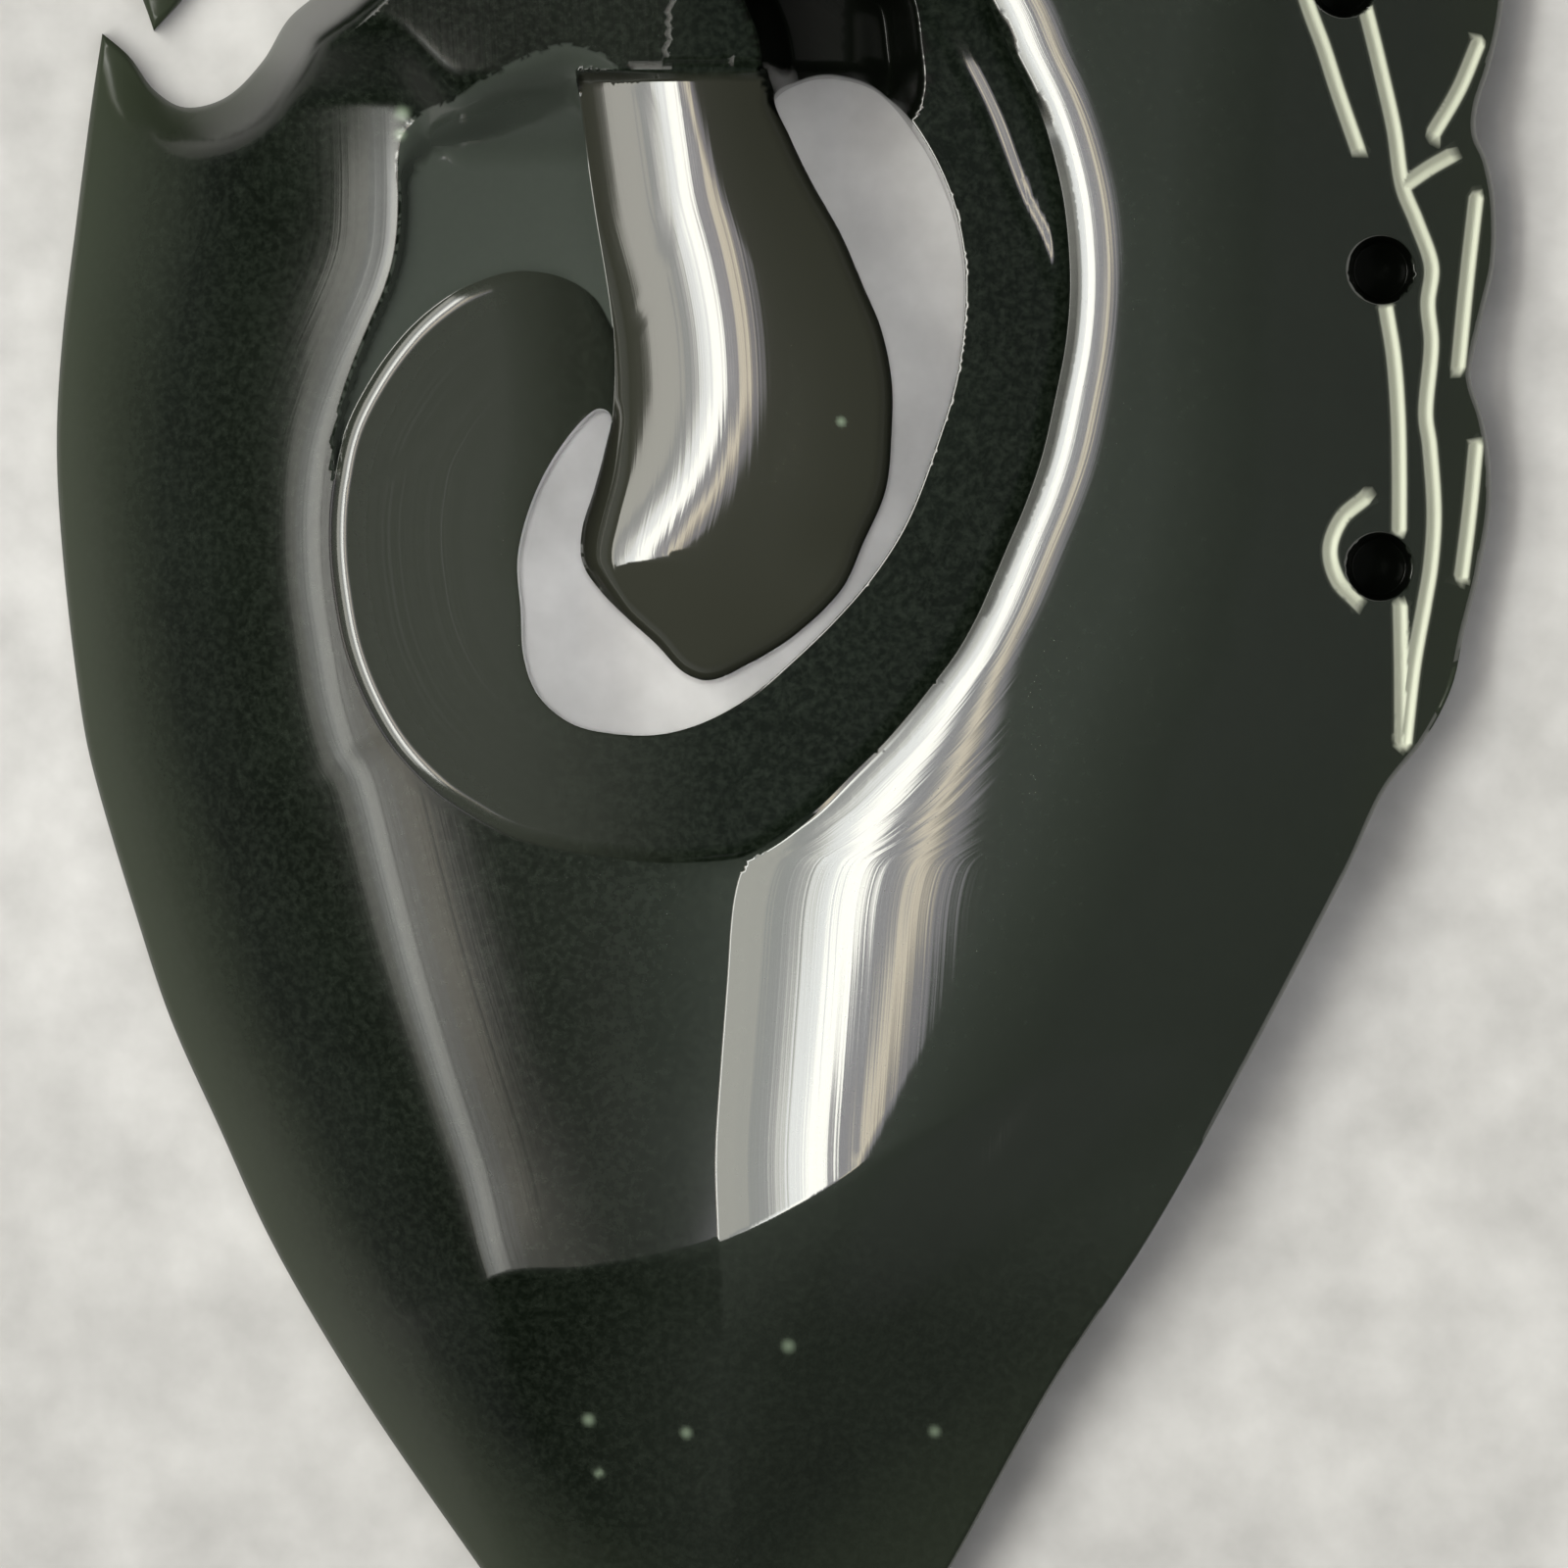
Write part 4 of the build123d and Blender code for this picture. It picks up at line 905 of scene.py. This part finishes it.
def stone_mesh():
    """The whole stone as one closed mesh: carved face, rounded lower edges and flat back."""
    stages = 4
    sharp_bend = 0.6
    sharp_reach = 2.0
    plan, corners = flat_plan(plan_points())
    height = carve(plan)
    verts = np.column_stack((plan, height))
    faces = corners.tolist()
    layers = [verts]
    total = len(verts)
    feet = []
    first = 0
    for loop in (outline, slot, hole):
        count = len(loop)
        run_in, run_out = loop - np.roll(loop, 1, axis=0), np.roll(loop, -1, axis=0) - loop
        bend = np.sum(run_in * run_out, axis=1)
        bend = bend / np.linalg.norm(run_in, axis=1) / np.linalg.norm(run_out, axis=1)
        size = np.full(count, back_edge)
        for tip in loop[bend < sharp_bend]:
            size = size * ease(np.linalg.norm(loop - tip, axis=1) / sharp_reach)
        above = list(range(first, first + count))
        for stage in range(stages + 1):
            angle = stage / stages * math.pi / 2
            inward = size * (1 - math.cos(angle))
            level = size * (1 - math.sin(angle))
            if stage == 0:
                level = np.full(count, back_edge)
            row = beside(loop, inward, loop=True)
            layers.append(np.column_stack((row, np.minimum(level, height[first : first + count]))))
            here = list(range(total, total + count))
            total += count
            for i in range(count):
                j = (i + 1) % count
                faces.append((above[i], here[i], here[j], above[j]))
            above = here
        feet.append((above, layers[-1][:, :2]))
        first += count
    flat, edges, owner = [], [], []
    for above, row in feet:
        start = len(flat)
        flat += [Vector((x, y)) for x, y in row.tolist()]
        owner += above
        edges += [(start + i, start + (i + 1) % len(row)) for i in range(len(row))]
    spots, _, back, origin, _, _ = geometry.delaunay_2d_cdt(flat, edges, [], 0, 1e-7)
    spots = np.array([(v.x, v.y) for v in spots])
    middles = np.array([spots[list(face)].mean(axis=0) for face in back])
    loops = [row for _, row in feet]
    solid = inside(middles, loops[0]) & ~inside(middles, loops[1]) & ~inside(middles, loops[2])
    for face, kept in zip(back, solid):
        if kept:
            ids = [owner[origin[i][0]] for i in face]
            a, b, c = spots[list(face)[:3]]
            if (b[0] - a[0]) * (c[1] - a[1]) - (b[1] - a[1]) * (c[0] - a[0]) > 0:
                ids = ids[::-1]
            faces.append(tuple(ids))
    verts = np.clip(np.vstack(layers) * mm, list(cad_box[0]), list(cad_box[1]))
    mesh = bpy.data.meshes.new("carved_stone")
    mesh.from_pydata(verts.tolist(), [], faces)
    mesh.update()
    for name, values in surface_marks(plan).items():
        layer = mesh.attributes.new(name, "FLOAT", "POINT")
        full = np.full(len(verts), lower_edge_polish if name == "polish" else 0.0)
        full[: len(values)] = values
        layer.data.foreach_set("value", full)
    return mesh, len(corners), face_normals(plan)


def colour(code):
    """Linear colour of an sRGB hex value."""
    parts = [int(code[i : i + 2], 16) / 255 for i in (1, 3, 5)]
    return tuple(p / 12.92 if p <= 0.04045 else ((p + 0.055) / 1.055) ** 2.4 for p in parts) + (1.0,)


def add(tree, kind, settings=(), links=()):
    """Add one node with its settings and links. A socket is named by its name or its number."""
    made = tree.nodes.new(kind)
    for name, value in dict(settings).items():
        if isinstance(name, str) and hasattr(made, name):
            setattr(made, name, value)
        else:
            made.inputs[name].default_value = value
    for name, source in dict(links).items():
        tree.links.new(source, made.inputs[name])
    return made


def bare_material(name):
    """A new material with an empty node tree."""
    finish = bpy.data.materials.new(name)
    finish.use_nodes = True
    finish.node_tree.nodes.clear()
    return finish, finish.node_tree


def tinted(tree, tone, code, amount):
    """Mix a colour over a tone, by an amount from 0 to 1."""
    settings = {"data_type": "RGBA", 7: colour(code)}
    return add(tree, "ShaderNodeMix", settings, {0: amount, 6: tone}).outputs[2]


def jade():
    """Nephrite jade, wheel polished: deep green to the eye, with clear reflections on its slopes."""
    finish, tree = bare_material("nephrite jade, polished")
    where = add(tree, "ShaderNodeTexCoord").outputs["Object"]
    mark = {}
    for name in ("cut", "fleck_and_glint", "strokes", "calm", "polish", "dark", "cloudy_and_sheen", "brown_and_sheen"):
        mark[name] = add(tree, "ShaderNodeAttribute", {"attribute_name": name}).outputs["Fac"]

    # Dark green with soft clouds
    clouds_per_metre = 260.0
    settings = {"Scale": clouds_per_metre, "Detail": 4.0, "Roughness": 0.6}
    cloud = add(tree, "ShaderNodeTexNoise", settings, {"Vector": where})
    body = add(tree, "ShaderNodeValToRGB", (), {"Fac": cloud.outputs["Fac"]})
    body.color_ramp.elements[0].position = 0.35
    body.color_ramp.elements[0].color = colour("#060b05")
    body.color_ramp.elements[1].position = 0.68
    body.color_ramp.elements[1].color = colour("#0c120b")
    tone = body.outputs["Color"]

    # Fine specks, as light scatters back from the grain of the stone
    grains_per_metre = 5200.0
    settings = {"Scale": grains_per_metre, "Detail": 2.0, "Roughness": 0.7}
    grain = add(tree, "ShaderNodeTexNoise", settings, {"Vector": where})
    settings = {"From Min": 0.4, "From Max": 0.8, "To Min": 0.0, "To Max": 0.3}
    speck = add(tree, "ShaderNodeMapRange", settings, {"Value": grain.outputs["Fac"]})
    tone = tinted(tree, tone, "#343b32", speck.outputs[0])
    # Brown tone of the tongue, cloudy grey of the stone, and on the ring's left part a painted sheen in
    # both
    tone = tinted(tree, tone, "#282922", mark["brown_and_sheen"])
    tone = tinted(tree, tone, "#3a3f39", mark["cloudy_and_sheen"])

    # Light comes through the thin edges in olive green
    split = add(tree, "ShaderNodeSeparateXYZ", (), {"Vector": where})
    settings = {"From Min": 3.4 * mm, "From Max": 1.0 * mm, "To Min": 0.0, "To Max": 1.0}
    thin = add(tree, "ShaderNodeMapRange", settings, {"Value": split.outputs["Z"]})
    tone = tinted(tree, tone, "#30362a", thin.outputs[0])

    # Pale cut lines, partly ground stone and partly painted highlight, pale flecks with two spots of
    # painted highlight, and painted shade in the pits and the pocket
    tone = tinted(tree, tone, "#ccd0bc", mark["cut"])
    tone = tinted(tree, tone, "#6b7866", mark["fleck_and_glint"])
    tone = tinted(tree, tone, "#070906", mark["dark"])

    # The coat is the polished skin: less of it where the stone is worn, none in the cut lines
    settings = {"IOR": 1.36, "Coat Roughness": 0.1, "Coat IOR": 1.6}
    shader = add(tree, "ShaderNodeBsdfPrincipled", settings, {"Base Color": tone})
    worn = add(tree, "ShaderNodeMapRange", {"To Min": 0.24, "To Max": 0.06}, {"Value": mark["polish"]})
    rough = add(tree, "ShaderNodeMath", {"operation": "MAXIMUM"}, {0: worn.outputs[0]})
    frosted = add(tree, "ShaderNodeMath", {"operation": "MULTIPLY", 1: 0.5}, {0: mark["cut"]})
    tree.links.new(frosted.outputs[0], rough.inputs[1])
    tree.links.new(rough.outputs[0], shader.inputs["Roughness"])
    settings = {"operation": "SUBTRACT", "use_clamp": True}
    bare = add(tree, "ShaderNodeMath", settings, {0: mark["polish"], 1: mark["cut"]})
    tree.links.new(bare.outputs[0], shader.inputs["Coat Weight"])

    # Strokes of the polishing wheel along the forms
    stroke_gap = 1 / 3
    stroke_depth = 0.0028
    settings = {"noise_dimensions": "1D", "Scale": 1 / stroke_gap, "Detail": 3.0, "Roughness": 0.6}
    wheel = add(tree, "ShaderNodeTexNoise", settings, {"W": mark["strokes"]})
    links = {0: wheel.outputs["Fac"], 1: mark["calm"]}
    ripple = add(tree, "ShaderNodeMath", {"operation": "MULTIPLY"}, links)
    settings = {"Strength": 1.0, "Distance": stroke_depth * mm}
    bump = add(tree, "ShaderNodeBump", settings, {"Height": ripple.outputs[0]})
    tree.links.new(bump.outputs["Normal"], shader.inputs["Normal"])
    tree.links.new(bump.outputs["Normal"], shader.inputs["Coat Normal"])
    out = add(tree, "ShaderNodeOutputMaterial")
    tree.links.new(shader.outputs["BSDF"], out.inputs["Surface"])
    return finish


def paper():
    """Pale uncoated paper: matt to the eye, and softly mottled."""
    finish, tree = bare_material("uncoated paper, pale")
    mottles_per_metre = 420.0
    where = add(tree, "ShaderNodeTexCoord").outputs["Object"]
    settings = {"Scale": mottles_per_metre, "Detail": 4.0, "Roughness": 0.55}
    patch = add(tree, "ShaderNodeTexNoise", settings, {"Vector": where})
    tone = add(tree, "ShaderNodeValToRGB", (), {"Fac": patch.outputs["Fac"]})
    tone.color_ramp.elements[0].position = 0.3
    tone.color_ramp.elements[0].color = colour("#b4b3b1")
    tone.color_ramp.elements[1].position = 0.7
    tone.color_ramp.elements[1].color = colour("#cbcac8")
    settings = {"Roughness": 0.9, "Specular IOR Level": 0.2}
    shader = add(tree, "ShaderNodeBsdfPrincipled", settings, {"Base Color": tone.outputs["Color"]})
    out = add(tree, "ShaderNodeOutputMaterial")
    tree.links.new(shader.outputs["BSDF"], out.inputs["Surface"])
    return finish


# The stone
stone_data, face_count, normals = stone_mesh()
stone = bpy.data.objects.new("carved_stone", stone_data)
scene.collection.objects.link(stone)
stone.data.materials.append(jade())
bpy.ops.object.select_all(action="DESELECT")
stone.select_set(True)
bpy.context.view_layer.objects.active = stone
smooth_angle = math.radians(38)
bpy.ops.object.shade_smooth_by_angle(angle=smooth_angle)

# Exact normals on the carved face, so the polish runs without facets
corner_normals = np.zeros(3 * len(stone_data.loops), np.float32)
stone_data.corner_normals.foreach_get("vector", corner_normals)
corner_normals = corner_normals.reshape(-1, 3)
owners = np.zeros(len(stone_data.loops), np.int32)
stone_data.loops.foreach_get("vertex_index", owners)
corner_normals[: 3 * face_count] = normals[owners[: 3 * face_count]]
stone_data.normals_split_custom_set(corner_normals.tolist())
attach(stone, "root")
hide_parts("carved_pendant")

# Floor of pale paper
bpy.ops.object.select_all(action="DESELECT")
bpy.ops.mesh.primitive_plane_add(size=1.6, location=(0, 0, 0))
floor = bpy.context.active_object
floor.name = "paper_floor"
floor.data.materials.append(paper())


def hang(name, data, place):
    """Put a lamp at its place in the room, out of the camera's sight."""
    light = bpy.data.objects.new(name, data)
    light.location = place
    light.visible_camera = False
    scene.collection.objects.link(light)
    return light


# Tall window on the left, as bands one above the other.
# Each row gives where a band starts and ends in degrees from straight up, its strength and its colour.
BANDS = [
    (8.9, 10.3, 1.2, "#d8d4dc"),
    (10.3, 13.0, 2.7, "#dcd6e2"),
    (13.0, 14.4, 4.6, "#f0e4d0"),
    (14.4, 16.5, 7.6, "#fff2d8"),
    (16.5, 17.6, 5.0, "#f0ebe0"),
    (17.6, 21.6, 3.1, "#e0dce6"),
    (21.6, 26.2, 14.0, "#fffef4"),
    (26.2, 29.2, 10.0, "#f8faf8"),
    (29.2, 30.7, 7.0, "#fffef4"),
    (30.7, 32.6, 4.4, "#e8e8e6"),
    (32.6, 35.2, 3.6, "#e4e6e4"),
    (35.2, 45.0, 4.8, "#eceae0"),
]
window_distance = 0.3
window_low = -0.235
window_high = 0.42
for number, (start, end, strength, tint) in enumerate(BANDS):
    upper = window_distance / math.tan(math.radians(start))
    lower = window_distance / math.tan(math.radians(end))
    name = "window_band_%d" % number
    light_data = bpy.data.lights.new(name, "AREA")
    light_data.shape = "RECTANGLE"
    light_data.size = upper - lower
    light_data.size_y = window_high - window_low
    light_data.color = colour(tint)[:3]
    light_data.energy = strength * math.pi * light_data.size * light_data.size_y
    light = hang(name, light_data, (-window_distance, (window_low + window_high) / 2, (upper + lower) / 2))
    light.rotation_euler = (0, -math.pi / 2, 0)

# Lamp straight above the pierced slot, which the polish doesn't show
lamp_data = bpy.data.lights.new("overhead_lamp", "SPOT")
lamp_data.energy = 8.5
lamp_data.spot_size = math.radians(3.8)
lamp_data.spot_blend = 1.0
lamp_data.shadow_soft_size = 0.012
lamp = hang("overhead_lamp", lamp_data, (-0.0035, 0.0005, 0.45))
lamp.visible_glossy = False

# Soft light from the ceiling, which the polish doesn't show either
ceiling_data = bpy.data.lights.new("ceiling", "AREA")
ceiling_data.size = 0.8
ceiling_data.energy = 2.3
ceiling = hang("ceiling", ceiling_data, (0, 0, 0.6))
ceiling.visible_glossy = False

# Dim room around, a little lighter low on the window's side.
# Each row gives how far up the room a shade is, from level to straight up, and how light it is.
ROOM_SHADES = [(0.30, 0.22), (0.50, 0.04), (0.85, 0.04)]
world = bpy.data.worlds.new("dim_room")
scene.world = world
world.use_nodes = True
sky = world.node_tree
sky.nodes.clear()
direction = add(sky, "ShaderNodeTexCoord").outputs["Generated"]
parts = add(sky, "ShaderNodeSeparateXYZ", (), {"Vector": direction})
room = add(sky, "ShaderNodeValToRGB", (), {"Fac": parts.outputs["Z"]})
room.color_ramp.elements[0].position = 0.0
room.color_ramp.elements[0].color = (0.30, 0.31, 0.29, 1)
room.color_ramp.elements[1].position = 1.0
room.color_ramp.elements[1].color = (0.095, 0.10, 0.11, 1)
for position, shade in ROOM_SHADES:
    stop = room.color_ramp.elements.new(position)
    stop.color = (shade, shade * 1.02, shade * 1.02, 1)
settings = {"From Min": 0.3, "From Max": -0.4, "To Min": 0.25, "To Max": 1.0}
window_side = add(sky, "ShaderNodeMapRange", settings, {"Value": parts.outputs["X"]})
links = {"Color": room.outputs["Color"], "Strength": window_side.outputs[0]}
backdrop = add(sky, "ShaderNodeBackground", (), links)
sky_out = add(sky, "ShaderNodeOutputWorld")
sky.links.new(backdrop.outputs["Background"], sky_out.inputs["Surface"])
